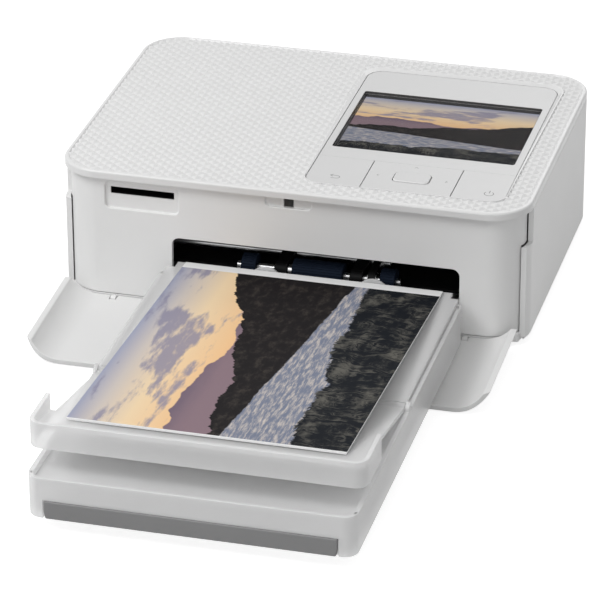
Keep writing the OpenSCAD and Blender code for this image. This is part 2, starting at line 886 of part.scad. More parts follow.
module fan_frame() {
    color(black) difference() {
        block([fan_x, fan_at[0] - fan_r - 2, fan_at[1] - fan_r - 2], [fan_x + 8, fan_at[0] + fan_r + 2,
              fan_at[1] + fan_r + 2]);
        rod(fan_at, fan_x - cut, fan_x + 6.5, fan_r + 0.5);
        for (a = [45:90:315]) translate([fan_x, fan_at[0], fan_at[1]]) rotate([a, 0, 0])
            on_x([fan_r * 0.62, 0], 0) cylinder(h = 9, r = 3);
    }
    color(black) rod(fan_at, fan_x + 1.8, fan_x + 7, fan_pin_r);
}

module fan_rotor() {
    color([0.15, 0.15, 0.16]) difference() {
        union() {
            rod(fan_at, fan_x + 1, fan_x + 5.6, 4.5);
            for (i = [0:6]) translate([fan_x + 1.2, fan_at[0], fan_at[1]]) rotate([i * 360 / 7, 0, 0])
                translate([0, 3, -0.5]) rotate([0, -35, 0]) translate([0, 0, -0.4])
                    cube([4.4, fan_r - 3.4, 0.8]);
        }
        rod(fan_at, fan_x + 1.7, fan_x + 6, fan_pin_r + run);
    }
}

// ---- Rollers and gears ----

module pickup_shaft() {
    color(steel) {
        rod(pick, small_roller_x[0] - 2.2, small_roller_x[1] + small_roller_w + 1.6, pick_shaft_r);
        rod(pick, belt_x, belt_x + belt_w, pulley_r);
        rod(pick, bush_x[0] + bush_w / 2 + 0.2, wide_roller_x - 0.2, pick_shaft_r + 0.7);
    }
}

// Ribbed rubber roller between two X values
module ribbed_roller(x0, x1) {
    ribs = 30;
    on_x(pick, x0) linear_extrude(x1 - x0) difference() {
        union() {
            circle(pick_r - 0.35);
            for (i = [0:ribs - 1]) rotate(i * 360 / ribs)
                translate([0, -0.22]) square([pick_r, 0.44]);
        }
        circle(pick_shaft_r + snug);
    }
}

module wide_pickup_roller() {
    color(rubber) ribbed_roller(wide_roller_x, wide_roller_x + wide_roller_w);
}

module small_pickup_rollers() {
    color(rubber) for (x = small_roller_x) ribbed_roller(x, x + small_roller_w);
}

// One arm of the pickup frame, from the shelf to both shafts
module pickup_arm(x) {
    rod(pick, x - bush_w / 2, x + bush_w / 2, pick_shaft_r + 1.5);
    rod(counter, x - bush_w / 2, x + bush_w / 2, pick_shaft_r + 1.7);
    on_x([0, 0], x - bush_w / 2) linear_extrude(bush_w) polygon([
        pick + [-1.2, 2.5], counter + [1.2, 2.9], [counter[0] + 3, shelf_z], [shelf_front, shelf_z],
        pick + [1.6, -2.4]]);
}

module pickup_frame() {
    color(black) difference() {
        union() {
            block([left_x + snug, shelf_front, shelf_z], [right_x - snug, nose_y - cut, shelf_z + shelf_t]);
            for (x = bush_x) pickup_arm(x);
        }
        rod(pick, left_x, right_x, pick_shaft_r + run);
        rod(counter, left_x, right_x, pick_shaft_r + run);
        block([belt_x - 0.4, shelf_front - cut, shelf_z - cut],
              [belt_x + belt_w + 0.4, counter[0] + pulley_r + 1.5, shelf_z + shelf_t + cut]);
    }
}

// Plan of the belt round both pulleys, in [Y, Z], with the given radius
module belt_plan(r) {
    dir = heading(pick, counter);
    translate(pick) circle(r);
    translate(counter) circle(r);
    translate(pick) rotate(dir) translate([0, -r]) square([norm(counter - pick), 2 * r]);
}

module pickup_belt() {
    color(black) on_x([0, 0], belt_x + 0.3) linear_extrude(belt_w - 0.6) difference() {
        belt_plan(pulley_r + 0.9);
        belt_plan(pulley_r + 0.1);
    }
}

module counter_shaft() {
    color(steel) {
        rod(counter, gear_x, belt_x + belt_w + 2, pick_shaft_r);
        rod(counter, belt_x, belt_x + belt_w, pulley_r);
    }
}

module counter_gear() {
    color(acetal) gear(counter, gear_x, teeth_counter, counter_turn, pick_shaft_r + snug);
}

module platen_roller() {
    color([0.16, 0.16, 0.17]) tube_x(platen, path_x - paper_w / 2 - 2, path_x + paper_w / 2 + 2, platen_r,
                                     shaft_r + 1 + snug);
}

module platen_shaft() {
    color(steel) {
        rod(platen, gear_x, right_x + plate_t + 2, shaft_r);
        rod(platen, path_x - paper_w / 2 - 4, path_x + paper_w / 2 + 4, shaft_r + 1);
    }
}

module platen_gear() {
    color(acetal) gear(platen, gear_x, teeth_main, 0, shaft_r + snug);
}

module feed_roller() {
    color(steel) {
        rod(feed, gear_x, right_x + plate_t + 2, shaft_r);
        rod(feed, path_x - paper_w / 2 - 2, path_x + paper_w / 2 + 2, feed_r);
    }
}

module feed_gear() {
    color(acetal) gear(feed, gear_x, teeth_main, feed_turn, shaft_r + snug);
}

module pinch_roller() {
    color(steel) {
        rod(pinch, left_x - plate_t - 1, right_x + plate_t + 1, stud_r);
        rod(pinch, path_x - paper_w / 2, path_x + paper_w / 2, pinch_r);
    }
}

module train_idler() {
    color(acetal) gear(idler, gear_x, teeth_idler, idler_turn, stud_r + run);
}

module pickup_idler() {
    color(acetal) gear(pick_idler, gear_x, teeth_pick, pick_turn, stud_r + run);
}

module paper_guide() {
    x0 = left_x + apart;
    x1 = right_x - apart;
    color(black) difference() {
        union() {
            on_x([0, 0], x0) linear_extrude(x1 - x0) {
                polygon([[nose_y + 1, box_z + 8], [-platen_r - 2, path_z - 2], [-platen_r - 2, path_z - 0.8],
                         [nose_y + 1, box_z + 9.6]]);
                translate([platen_r + 2, path_z - 2]) square([feed_y - feed_r - platen_r - 4, 1.2]);
                translate([feed_y + feed_r + 2, path_z - 2])
                    square([back_y - wall - feed_y - feed_r - 3, 1.2]);
            }
            for (x = [x0, x1 - 1.2])
                block([x, nose_y + 1, box_z + 8], [x + 1.2, back_y - wall - 1, path_z - 0.8]);
        }
        for (p = [platen, feed]) rod(p, x0 - cut, x1 + cut, shaft_r + 1.5);
    }
}

// ---- Thermal head ----

module head_arm() {
    top_z = spool_z + spool_case_r + 0.7;
    half = head_w / 2;
    color(steel) {
        difference() {
            block([path_x - half - 2, -8, top_z], [path_x + half + 2, arm_pivot[0] + 3, top_z + 1.2]);
            for (x = [-34, 0, 34]) block([path_x + x - 12, 14, 0], [path_x + x + 12, 38, big]);
        }
        for (x = [path_x - half - 1.5, path_x + half]) {
            block([x, -8, path_z + 1], [x + 1.5, 8, top_z + snug]);
            block([x, arm_pivot[0] - 3, arm_pivot[1]], [x + 1.5, arm_pivot[0] + 3, top_z + snug]);
            rod(arm_pivot, x, x + 1.5, 3.4);
        }
        rod(arm_pivot, left_x - plate_t - 1, right_x + plate_t + 1, shaft_r);
    }
}

module thermal_head() {
    color([0.85, 0.83, 0.78]) block([path_x - head_w / 2, -head_d / 2, head_z],
                                    [path_x + head_w / 2, head_d / 2, head_z + head_t]);
}

module head_heatsink() {
    half = head_w / 2 - snug;
    color([0.6, 0.61, 0.63]) {
        block([path_x - half, -8, head_z + head_t], [path_x + half, 8, head_z + head_t + 2.6]);
        for (y = [-8, -3.6, 2.2, 6.6])
            block([path_x - half, y, head_z + head_t + 2.5], [path_x + half, y + 1.4, path_z + 19]);
    }
}

// ---- Ribbon ----

// End profile of the ribbon cassette, extruded along X
module ribbon_profile(len, grow) {
    rotate([90, 0, 90]) linear_extrude(len) {
        for (p = [supply, takeup]) translate(p) circle(spool_case_r + grow);
        translate([-spool_y, spool_z + 3 - grow]) square([2 * spool_y, spool_case_r - 3 + 2 * grow]);
    }
}

module ribbon_case() {
    color([0.9, 0.9, 0.9]) difference() {
        union() {
            for (x = [case_x0, right_x - 3]) translate([x, 0, 0]) ribbon_profile(2, 0);
            translate([right_x - 1, 0, 0]) ribbon_profile(case_x1 - right_x + 1, 0);
            for (p = [supply, takeup])
                tube_x(p, case_x0, right_x - 1, spool_case_r, spool_case_r - 1);
        }
        for (p = [supply, takeup]) rod(p, case_x0 - cut, right_x + 0.4, 3 + run);
        block([case_x0 + 2, -spool_y - 2, 0], [right_x - 3, spool_y + 2, spool_z - 5]);
    }
}

module spool(p, roll_r) {
    rod(p, case_x0 + 0.2, right_x + 0.2, 3);
    rod(p, case_x0 + 2.3, right_x - 3.3, 3.6);
    rod(p, path_x - paper_w / 2 - 2, path_x + paper_w / 2 + 2, roll_r);
}

module supply_spool() {
    color([0.15, 0.2, 0.55]) spool(supply, supply_r);
}

module takeup_spool() {
    color([0.3, 0.25, 0.4]) spool(takeup, takeup_r);
}

module ribbon_film() {
    exit_s = supply + (supply_r + 0.4) * [-cos(60), -sin(60)];
    exit_t = takeup + (takeup_r + 0.4) * [cos(60), -sin(60)];
    color([0.25, 0.2, 0.5]) on_x([0, 0], path_x - paper_w / 2 - 1) linear_extrude(paper_w + 2) polygon([
        exit_s, [film_flat, film_z + film_t], [-film_flat, film_z + film_t], exit_t,
        exit_t - [0, film_t], [-film_flat, film_z], [film_flat, film_z], exit_s - [0, film_t]]);
}

// ---- Paper cassette ----

// Plan of the cassette box, moved in by inset
module box_plan(inset) {
    translate([path_x, (front_y + shoulder_y) / 2])
        rrect(box_w - 2 * inset, shoulder_y - front_y - 2 * inset, box_r - inset);
    translate([path_x, (shoulder_y - 20 + nose_y) / 2])
        square([nose_w - 2 * inset, nose_y - shoulder_y + 20 - 2 * inset], center = true);
}

module cassette_box() {
    color(frost) difference() {
        union() {
            difference() {
                slab(box_z, box_top) box_plan(0);
                slab(box_z + box_wall, big) box_plan(box_wall);
            }
            for (x = [-box_w / 2, box_w / 2 - box_wall]) {
                rod([cover_y, cover_z], path_x + x, path_x + x + box_wall, cover_eye);
                block([path_x + x, cover_y - cover_eye, box_top - 2],
                      [path_x + x + box_wall, cover_y + cover_eye, cover_z]);
            }
        }
        rod([cover_y, cover_z], path_x - box_w, path_x + box_w, cover_pin_r + run);
        block([path_x - nose_w / 2 - cut, pick[0] - 14, pick[1] - pick_r - 0.4],
              [path_x + nose_w / 2 + cut, nose_y + cut, big]);
        block([path_x - bar_w / 2, front_y - cut, box_z - cut], [path_x + bar_w / 2, front_y + bar_t,
              box_z + bar_h]);
    }
}

module cassette_bar() {
    color(grey) difference() {
        block([path_x - bar_w / 2 + 0.3, front_y - bar_proud, box_z], [path_x + bar_w / 2 - 0.3,
              front_y + bar_t - snug, box_z + bar_h - snug]);
        for (x = [-1, 1]) translate([path_x + x * bar_w / 2, front_y - 1, box_z])
            rotate([0, x * 12, 0]) translate([-0.8, 0, -1]) cube([1.6, 4, bar_h + 3]);
    }
}

module cassette_lid() {
    lid_w = pivot_w;
    y0 = shoulder_y - inner_d;
    color(frost) {
        block([path_x - lid_w / 2, y0, lid_z], [path_x + lid_w / 2, shoulder_y - 0.6, lid_z + inner_t]);
        block([path_x - nose_w / 2 + 1.5, shoulder_y - 1, lid_z], [path_x + nose_w / 2 - 1.5, face_y - 0.2,
              lid_z + inner_t]);
        for (x = [path_x - lid_w / 2 + 0.4, path_x + lid_w / 2 - 1.6])
            block([x, y0 + 1, lid_z - 2], [x + 1.2, shoulder_y - 3, lid_z + snug]);
        block([path_x - lid_w / 2, y0, flap_z], [path_x + lid_w / 2, y0 + inner_t, lid_z + inner_t]);
        slab(flap_z, flap_z + inner_t) intersection() {
            box_plan(box_wall + apart);
            translate([path_x - box_w, front_y]) square([2 * box_w, y0 + inner_t - front_y]);
        }
        for (x = [-8.5, 33.2]) intersection() {
            translate([x, face_y - 0.2, lid_z - 3]) rotate([90, 0, 0]) cylinder(h = 1, r = 6.4);
            block([x - 4.6, -big, lid_z - 2], [x + 4.6, 0, big]);
        }
    }
}

// Band round the front of the folded cover
module band_plan(inset) {
    translate([path_x, band_y + cover_w / 4])
        rrect(cover_w - 2 * inset, cover_w / 2 - 2 * inset, box_r - inset);
}

module cassette_cover() {
    slope = tan(cover_slope);
    rise = (cover_y - band_y) * slope;
    wide_y = band_y + band_d;
    end_y = cover_y - cover_eye - 0.2;
    drop = (cover_y - end_y) * slope;
    color(frost) {
        intersection() {
            on_x([0, 0], path_x - cover_w / 2) linear_extrude(cover_w) polygon([
                [end_y, cover_z - cover_t / 2 + drop], [end_y, cover_z + cover_t / 2 + drop],
                [band_y, cover_z + cover_t / 2 + rise], [band_y, cover_z - cover_t / 2 + rise]]);
            union() {
                slab(0, big) intersection() {
                    band_plan(0);
                    translate([path_x, wide_y - body_w]) square([body_w, 2 * body_w], center = true);
                }
                block([path_x - pivot_w / 2, wide_y - cut, 0], [path_x + pivot_w / 2, cover_y, big]);
            }
        }
        slab(band_top - band_h, band_top) difference() {
            intersection() {
                band_plan(0);
                translate([path_x, wide_y - body_w]) square([body_w, 2 * body_w], center = true);
            }
            band_plan(box_wall);
        }
        rod([cover_y, cover_z], path_x - pivot_w / 2, path_x + pivot_w / 2, cover_hub);
        block([path_x - pivot_w / 2, cover_y - 4, cover_z - cover_t / 2 + 0.3],
              [path_x + pivot_w / 2, cover_y, cover_z + cover_t / 2 + 0.2]);
        rod([cover_y, cover_z], path_x - box_w / 2 + 0.2, path_x + box_w / 2 - 0.2, cover_pin_r);
    }
}

module lift_plate() {
    color(steel) block([path_x - paper_w / 2, nose_y - box_wall - sheet_l - 2, box_z + box_wall + 0.2],
                       [path_x + paper_w / 2, nose_y - box_wall - 1, stack_z]);
}

module paper_stack() {
    color([0.96, 0.96, 0.95]) block([path_x - paper_w / 2, nose_y - box_wall - 1 - sheet_l, stack_z],
                                    [path_x + paper_w / 2, nose_y - box_wall - 1, stack_z + stack_h]);
}

module print_sheet() {
    color([0.9, 0.75, 0.6]) translate([path_x, print_y, print_z]) rotate([-print_tilt, 0, 0])
        translate([-paper_w / 2, -print_l, 0]) cube([paper_w, print_l, print_t]);
}

placed() bottom_case();
placed() front_panel();
placed() left_panel();
placed() rear_panel();
placed() top_cover();
placed() feet();
placed() case_screws();
placed() chassis_left();
placed() chassis_right();
placed() cross_bars();
placed() main_board();
placed() card_socket();
placed() usb_port();
placed() dc_inlet();
placed() motor();
placed() motor_bracket();
placed() fan_frame();
placed() lcd_module();
placed() button_board();
placed() key_switches();
placed() panel_bezel();
placed() screen_glass();
placed() pickup_frame();
placed() pickup_belt();
placed() paper_guide();
placed() ribbon_case();
placed() ribbon_film();
placed() front_door();
placed() ribbon_cover();
placed() menu_button();
placed() pad_button();
placed() ok_button();
placed() power_button();
placed() pickup_shaft();
placed() wide_pickup_roller();
placed() small_pickup_rollers();
placed() counter_shaft();
placed() counter_gear();
placed() platen_roller();
placed() platen_shaft();
placed() platen_gear();
placed() feed_roller();
placed() feed_gear();
placed() pinch_roller();
placed() train_idler();
placed() pickup_idler();
placed() motor_pinion();
placed() head_arm();
placed() thermal_head();
placed() head_heatsink();
placed() supply_spool();
placed() takeup_spool();
placed() fan_rotor();
placed() cassette_box();
placed() cassette_bar();
placed() cassette_lid();
placed() cassette_cover();
placed() lift_plate();
placed() paper_stack();
placed() print_sheet();
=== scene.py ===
# Compact photo printer: finishes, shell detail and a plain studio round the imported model
import json
import math

import bmesh
import bpy
from mathutils import Matrix, Vector


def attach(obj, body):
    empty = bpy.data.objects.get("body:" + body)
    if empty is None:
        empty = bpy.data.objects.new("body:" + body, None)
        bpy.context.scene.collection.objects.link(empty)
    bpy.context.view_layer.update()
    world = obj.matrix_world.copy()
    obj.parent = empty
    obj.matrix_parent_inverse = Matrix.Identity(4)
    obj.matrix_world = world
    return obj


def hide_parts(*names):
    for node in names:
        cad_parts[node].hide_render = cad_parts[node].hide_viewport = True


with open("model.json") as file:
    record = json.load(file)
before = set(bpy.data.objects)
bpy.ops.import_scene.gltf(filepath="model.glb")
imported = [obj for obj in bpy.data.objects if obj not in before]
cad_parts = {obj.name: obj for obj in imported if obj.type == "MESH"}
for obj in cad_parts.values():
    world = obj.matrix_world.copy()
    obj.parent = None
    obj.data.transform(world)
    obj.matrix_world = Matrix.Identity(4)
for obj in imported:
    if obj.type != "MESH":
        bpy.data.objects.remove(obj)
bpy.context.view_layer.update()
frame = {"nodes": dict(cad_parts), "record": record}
mm = 0.001
smoothAngle = math.radians(30)
facingUp = 0.9   # least upward share of the normal of a top face
record = frame["record"]
bodyOf = {node: body for body, nodes in record["behaviour"]["bodies"].items() for node in nodes}
slotOf = {part["node"]: part["material_slot"] for part in record["subparts"]}


# Camera
cameraView = {
    "target": (0.0138, -0.01505, 0.030),
    "distance": 1.4361,
    "yaw": 14.86,        # degrees to the right of straight ahead
    "pitch": 26.92,
    "roll": -0.21,
    "lens": 233.9,       # mm, for a square frame of the size below
    "frame": 36,
    "clip": (0.05, 20),
}


def placeCamera(view):
    yaw, pitch = math.radians(view["yaw"]), math.radians(view["pitch"])
    back = Vector((math.sin(yaw) * math.cos(pitch), -math.cos(yaw) * math.cos(pitch),
                   math.sin(pitch)))
    lens = bpy.data.cameras.new("studioCamera")
    lens.lens, lens.sensor_width = view["lens"], view["frame"]
    lens.sensor_fit = "HORIZONTAL"
    lens.clip_start, lens.clip_end = view["clip"]
    camera = bpy.data.objects.new("studioCamera", lens)
    bpy.context.collection.objects.link(camera)
    roll = Matrix.Rotation(math.radians(view["roll"]), 4, "Z")
    turn = back.to_track_quat("Z", "Y").to_matrix().to_4x4() @ roll
    place = Vector(view["target"]) + back * view["distance"]
    camera.matrix_world = Matrix.Translation(place) @ turn
    bpy.context.scene.camera = camera


placeCamera(cameraView)


class Value:
    # A socket in an expression: each sign adds one Math node
    def __init__(self, finish, socket):
        self.finish, self.socket = finish, socket

    def maths(self, operation, *others):
        made = self.finish.node("ShaderNodeMath", {"operation": operation},
                                dict(enumerate([self, *others])))
        return Value(self.finish, made.outputs[0])

    def __add__(self, other):
        return self.maths("ADD", other)

    __radd__ = __add__

    def __mul__(self, other):
        return self.maths("MULTIPLY", other)

    __rmul__ = __mul__

    def __sub__(self, other):
        return self.maths("SUBTRACT", other)

    def __rsub__(self, other):
        return self * -1 + other


class Finish:
    # One material: constants go on the shader's own sockets
    def __init__(self, name, **constants):
        self.material = bpy.data.materials.new(name)
        self.material.use_nodes = True
        self.tree = self.material.node_tree
        self.shader = self.tree.nodes["Principled BSDF"]
        for key, value in constants.items():
            self.feed(socketNames[key], value)

    def node(self, kind, settings=None, sockets=None):
        made = self.tree.nodes.new(kind)
        for name, value in (settings or {}).items():
            if name == "stops":
                stops = made.color_ramp.elements
                while len(stops) < len(value):
                    stops.new(0.5)
                for stop, (at, colour) in zip(stops, value):
                    stop.position, stop.color = at, (*colour, 1)
            else:
                setattr(made, name, value)
        for name, value in (sockets or {}).items():
            if isinstance(value, Value):
                self.tree.links.new(value.socket, made.inputs[name])
            else:
                made.inputs[name].default_value = value
        return made

    def feed(self, name, value):
        if isinstance(value, Value):
            self.tree.links.new(value.socket, self.shader.inputs[name])
        else:
            self.shader.inputs[name].default_value = value

    def place(self):
        return Value(self, self.node("ShaderNodeTexCoord").outputs["Object"])

    def axes(self, at):
        made = self.node("ShaderNodeSeparateXYZ", {}, {0: at})
        return [Value(self, made.outputs[i]) for i in range(3)]

    def join(self, x, y, z):
        return Value(self, self.node("ShaderNodeCombineXYZ", {}, {0: x, 1: y, 2: z}).outputs[0])

    def noise(self, at, scale, detail=3.0, rough=0.5):
        made = self.node("ShaderNodeTexNoise", {},
                         {"Vector": at, "Scale": scale, "Detail": detail, "Roughness": rough})
        return Value(self, made.outputs[0])

    def cells(self, at, scale, feature="F1"):
        made = self.node("ShaderNodeTexVoronoi", {"feature": feature},
                         {"Vector": at, "Scale": scale})
        return Value(self, made.outputs["Distance"])

    def fade(self, value, low, high):
        made = self.node("ShaderNodeMapRange", {"interpolation_type": "SMOOTHSTEP"},
                         {0: value, 1: low, 2: high, 3: 0.0, 4: 1.0})
        return Value(self, made.outputs[0])

    def ramp(self, value, stops):
        return Value(self, self.node("ShaderNodeValToRGB", {"stops": stops}, {0: value}).outputs[0])

    def blend(self, mask, first, second):
        colours = [c if isinstance(c, Value) else (*c, 1) for c in (first, second)]
        made = self.node("ShaderNodeMix", {"data_type": "RGBA"},
                         {0: mask, 6: colours[0], 7: colours[1]})
        return Value(self, made.outputs[2])

    def bump(self, height, depth):
        made = self.node("ShaderNodeBump", {},
                         {"Height": height, "Distance": depth, "Strength": 1.0})
        self.feed("Normal", Value(self, made.outputs[0]))


socketNames = {
    "metal": "Metallic", "transmission": "Transmission Weight", "ior": "IOR", "coat": "Coat Weight",
    "specular": "Specular IOR Level", "alpha": "Alpha", "glow": "Emission Strength",
    "scatter": "Subsurface Weight", "scatterReach": "Subsurface Scale", "rough": "Roughness",
    "colour": "Base Color",
}


def grey(level):
    return (level, level, level)


# Moulded plastic: dark and light tone, roughness, grain size in mm and its depth in mm
plasticLooks = {
    "shellWhite": ((0.785, 0.785, 0.782), (0.815, 0.815, 0.812), 0.42, 0.35, 0.006, {}),
    # lidShadedWhite is the shell's white made darker: painted shade that tones down the light
    # falling on the lid's top
    "lidShadedWhite": ((0.735, 0.735, 0.734), (0.765, 0.765, 0.764), 0.30, 0.35, 0.002, {}),
    # keyShadedWhite is the shell's white made much darker: painted shade for the dimmer look of the
    # flat key panel under the light
    "keyShadedWhite": ((0.605, 0.605, 0.605), (0.625, 0.625, 0.625), 0.34, 0.3, 0.002, {}),
    "barGrey": ((0.20, 0.20, 0.202), (0.23, 0.23, 0.232), 0.45, 0.3, 0.006, {}),
    "blackPlastic": ((0.005, 0.005, 0.0055), (0.009, 0.009, 0.0095), 0.5, 0.4, 0.01,
                     {"specular": 0.08}),
    "frameDark": (grey(0.045), grey(0.06), 0.4, 0.3, 0.004, {}),
    "navyRubber": ((0.007, 0.011, 0.021), (0.011, 0.017, 0.031), 0.65, 0.25, 0.02,
                   {"specular": 0.05}),
    "blackRubber": (grey(0.016), grey(0.026), 0.8, 0.5, 0.03, {"specular": 0.3}),
    "acetal": ((0.74, 0.72, 0.66), (0.79, 0.775, 0.72), 0.36, 0.5, 0.004,
               {"scatter": 0.15, "scatterReach": 0.002}),
    "ceramic": ((0.62, 0.6, 0.55), (0.74, 0.72, 0.67), 0.25, 0.2, 0.004, {"coat": 0.3}),
    "inkGrey": (grey(0.20), grey(0.24), 0.5, 0.2, 0.002, {}),
}
# Scales of the noise in the tone and in the smudges, and what smudges and grain add to roughness
plasticNoise = {"tone": 45, "smudge": 160, "smudgeShare": 0.1, "grainShare": 0.06}
finishes = {}


def mouldedPlastic(name):
    dark, light, rough, grain, depth, extras = plasticLooks[name]
    smudged, grained = plasticNoise["smudgeShare"], plasticNoise["grainShare"]
    made = Finish(name, **extras)
    at = made.place()
    made.feed("Base Color", made.blend(made.noise(at, plasticNoise["tone"], 4), dark, light))
    fine = made.noise(at, 1 / (grain * mm), 4, 0.6)
    smudge = made.noise(at, plasticNoise["smudge"], 3)
    made.feed("Roughness", smudge * smudged + fine * grained + (rough - (smudged + grained) / 2))
    made.bump(fine, depth * mm)
    return made


for look in plasticLooks:
    finishes[look] = mouldedPlastic(look)

# Sheet metal: tone, roughness, way of the brushing marks, metallic share
metalLooks = {
    "brightSteel": ((0.50, 0.505, 0.51), (0.62, 0.625, 0.63), 0.28, (40, 900, 900), 1.0),
    # shadedBlackSteel: near-black coat on the chassis inside the body, its black tone painted shade
    # for the dark interior
    "shadedBlackSteel": (grey(0.016), grey(0.03), 0.42, (300, 300, 300), 0.0),
    "heatsinkAlu": ((0.6, 0.605, 0.61), (0.74, 0.745, 0.75), 0.36, (900, 60, 900), 1.0),
}
metalNoise = {"smudge": 90, "smudgeShare": 0.1, "brushShare": 0.16, "brushDepth": 0.01}


def sheetMetal(name):
    dark, light, rough, marks, share = metalLooks[name]
    smudged, streaked = metalNoise["smudgeShare"], metalNoise["brushShare"]
    made = Finish(name, metal=share)
    at = made.place()
    x, y, z = made.axes(at)
    brushed = made.noise(made.join(x * marks[0], y * marks[1], z * marks[2]), 1.0, 4, 0.65)
    made.feed("Base Color", made.blend(brushed, dark, light))
    smudge = made.noise(at, metalNoise["smudge"], 3)
    made.feed("Roughness",
              brushed * streaked + smudge * smudged + (rough - (smudged + streaked) / 2))
    made.bump(brushed, metalNoise["brushDepth"] * mm)
    return made


for look in metalLooks:
    finishes[look] = sheetMetal(look)


# Frosted plastic of the paper cassette
frostedLook = {
    "tone": (0.91, 0.91, 0.912), "darker": 0.02, "transmission": 0.22, "cover": 0.6, "rough": 0.3,
    "cloud": 60, "cloudShare": 0.08, "grain": 2600, "grainShare": 0.06, "grainDepth": 0.006,
}


def frostedPlastic(name, look):
    made = Finish(name, transmission=look["transmission"], ior=1.3, specular=0.5,
                  alpha=look["cover"])
    at = made.place()
    cloud = made.noise(at, look["cloud"], 4)
    fine = made.noise(at, look["grain"], 3, 0.6)
    dark = tuple(c - look["darker"] for c in look["tone"])
    made.feed("Base Color", made.blend(cloud, dark, look["tone"]))
    made.feed("Roughness", cloud * look["cloudShare"] + fine * look["grainShare"] + look["rough"])
    made.bump(fine, look["grainDepth"] * mm)
    return made


finishes["frosted"] = frostedPlastic("frosted", frostedLook)

# Circuit board: mask over tracks, bare pads
boardLook = {
    "mask": ((0.012, 0.075, 0.036), (0.006, 0.04, 0.02)), "pad": (0.55, 0.5, 0.36),
    "tracks": 420, "trackStretch": 0.35, "trackEdge": (0.03, 0.07), "trackDepth": 0.05,
    "pads": 260, "padEdge": (0.2, 0.17), "smudge": 300, "smudgeShare": 0.15, "rough": 0.3,
}


def circuitBoard(name, look):
    made = Finish(name, coat=0.4)
    at = made.place()
    x, y, z = made.axes(at)
    stretched = made.join(x, y * look["trackStretch"], z)
    tracks = made.cells(stretched, look["tracks"], "DISTANCE_TO_EDGE")
    pads = made.cells(at, look["pads"])
    green = made.blend(made.fade(tracks, *look["trackEdge"]), *look["mask"])
    made.feed("Base Color", made.blend(made.fade(pads, *look["padEdge"]), green, look["pad"]))
    smudge = made.noise(at, look["smudge"], 3)
    made.feed("Roughness", smudge * look["smudgeShare"] + look["rough"])
    made.bump(tracks.maths("MINIMUM", 0.1), look["trackDepth"] * mm)
    return made


finishes["board"] = circuitBoard("board", boardLook)


# Dye ribbon with its panels in turn, wound in many turns
ribbonLook = {
    "panels": [(0.0, (0.35, 0.27, 0.02)), (0.31, (0.33, 0.25, 0.02)), (0.35, (0.28, 0.02, 0.11)),
               (0.64, (0.26, 0.02, 0.10)), (0.68, (0.01, 0.12, 0.27)), (1.0, (0.01, 0.10, 0.25))],
    "panelsPerMetre": 12.0, "turns": (30, 900, 900), "dark": grey(0.02), "darkShare": 0.3,
    "turnShare": 0.12, "rough": 0.22, "turnDepth": 0.02,
}


def dyeRibbon(name, look):
    made = Finish(name, coat=0.5)
    x, y, z = made.axes(made.place())
    along, across, up = look["turns"]
    turn = made.noise(made.join(x * along, y * across, z * up), 1.0, 3)
    bands = made.ramp((y * look["panelsPerMetre"]).maths("FRACT"), look["panels"])
    made.feed("Base Color", made.blend(turn * look["darkShare"], bands, look["dark"]))
    made.feed("Roughness", turn * look["turnShare"] + look["rough"])
    made.bump(turn, look["turnDepth"] * mm)
    return made


finishes["ribbonBlue"] = dyeRibbon("ribbonBlue", ribbonLook)


# Paper, with the edges of its sheets
paperLook = {
    "darker": 0.03, "tone": 70, "fibre": 900, "fibreShare": 0.15, "rough": 0.42,
    "fibreRelief": 0.3, "sheetEdge": 0.35, "depth": 0.03,
}


def paperStock(name, level, sheets, look):
    made = Finish(name, coat=0.1)
    at = made.place()
    fibre = made.noise(at, look["fibre"], 5, 0.65)
    tone = made.noise(at, look["tone"], 3)
    edge = (made.axes(at)[2] * sheets).maths("FRACT")
    made.feed("Base Color", made.blend(tone, grey(level - look["darker"]), grey(level)))
    made.feed("Roughness", fibre * look["fibreShare"] + look["rough"])
    relief = fibre * look["fibreRelief"] + made.fade(edge, 0.0, look["sheetEdge"])
    made.bump(relief, look["depth"] * mm)
    return made


sheetsPerMetre = 4000
finishes["paperWhite"] = paperStock("paperWhite", 0.86, 1, paperLook)
finishes["paperEdges"] = paperStock("paperEdges", 0.84, sheetsPerMetre, paperLook)


# Mountain lake at dusk. along and up are 0 to 1 over the picture's height, up from its foot
landscape = {
    "sky": [(0.0, (0.80, 0.30, 0.17)), (0.5, (0.86, 0.42, 0.22)), (0.64, (0.90, 0.58, 0.31)),
            (0.80, (0.88, 0.68, 0.44)), (0.92, (0.62, 0.56, 0.52)), (1.0, (0.36, 0.38, 0.50))],
    "cloud": (0.27, 0.26, 0.36),
    "farRidge": (0.12, 0.10, 0.16),
    "ridgeHaze": (0.27, 0.19, 0.22),
    "slope": (0.018, 0.016, 0.017),
    "slopeLight": (0.055, 0.047, 0.042),
    "lake": (0.20, 0.225, 0.30),
    "lakeLight": (0.62, 0.56, 0.52),
    "heath": (0.012, 0.014, 0.018),
    "heathLight": (0.13, 0.125, 0.11),
    # heights at which each layer starts, before its own rise and fall
    "ridgeAt": 0.505, "slopeAt": 0.19, "shoreAt": 0.43, "heathAt": 0.08,
}


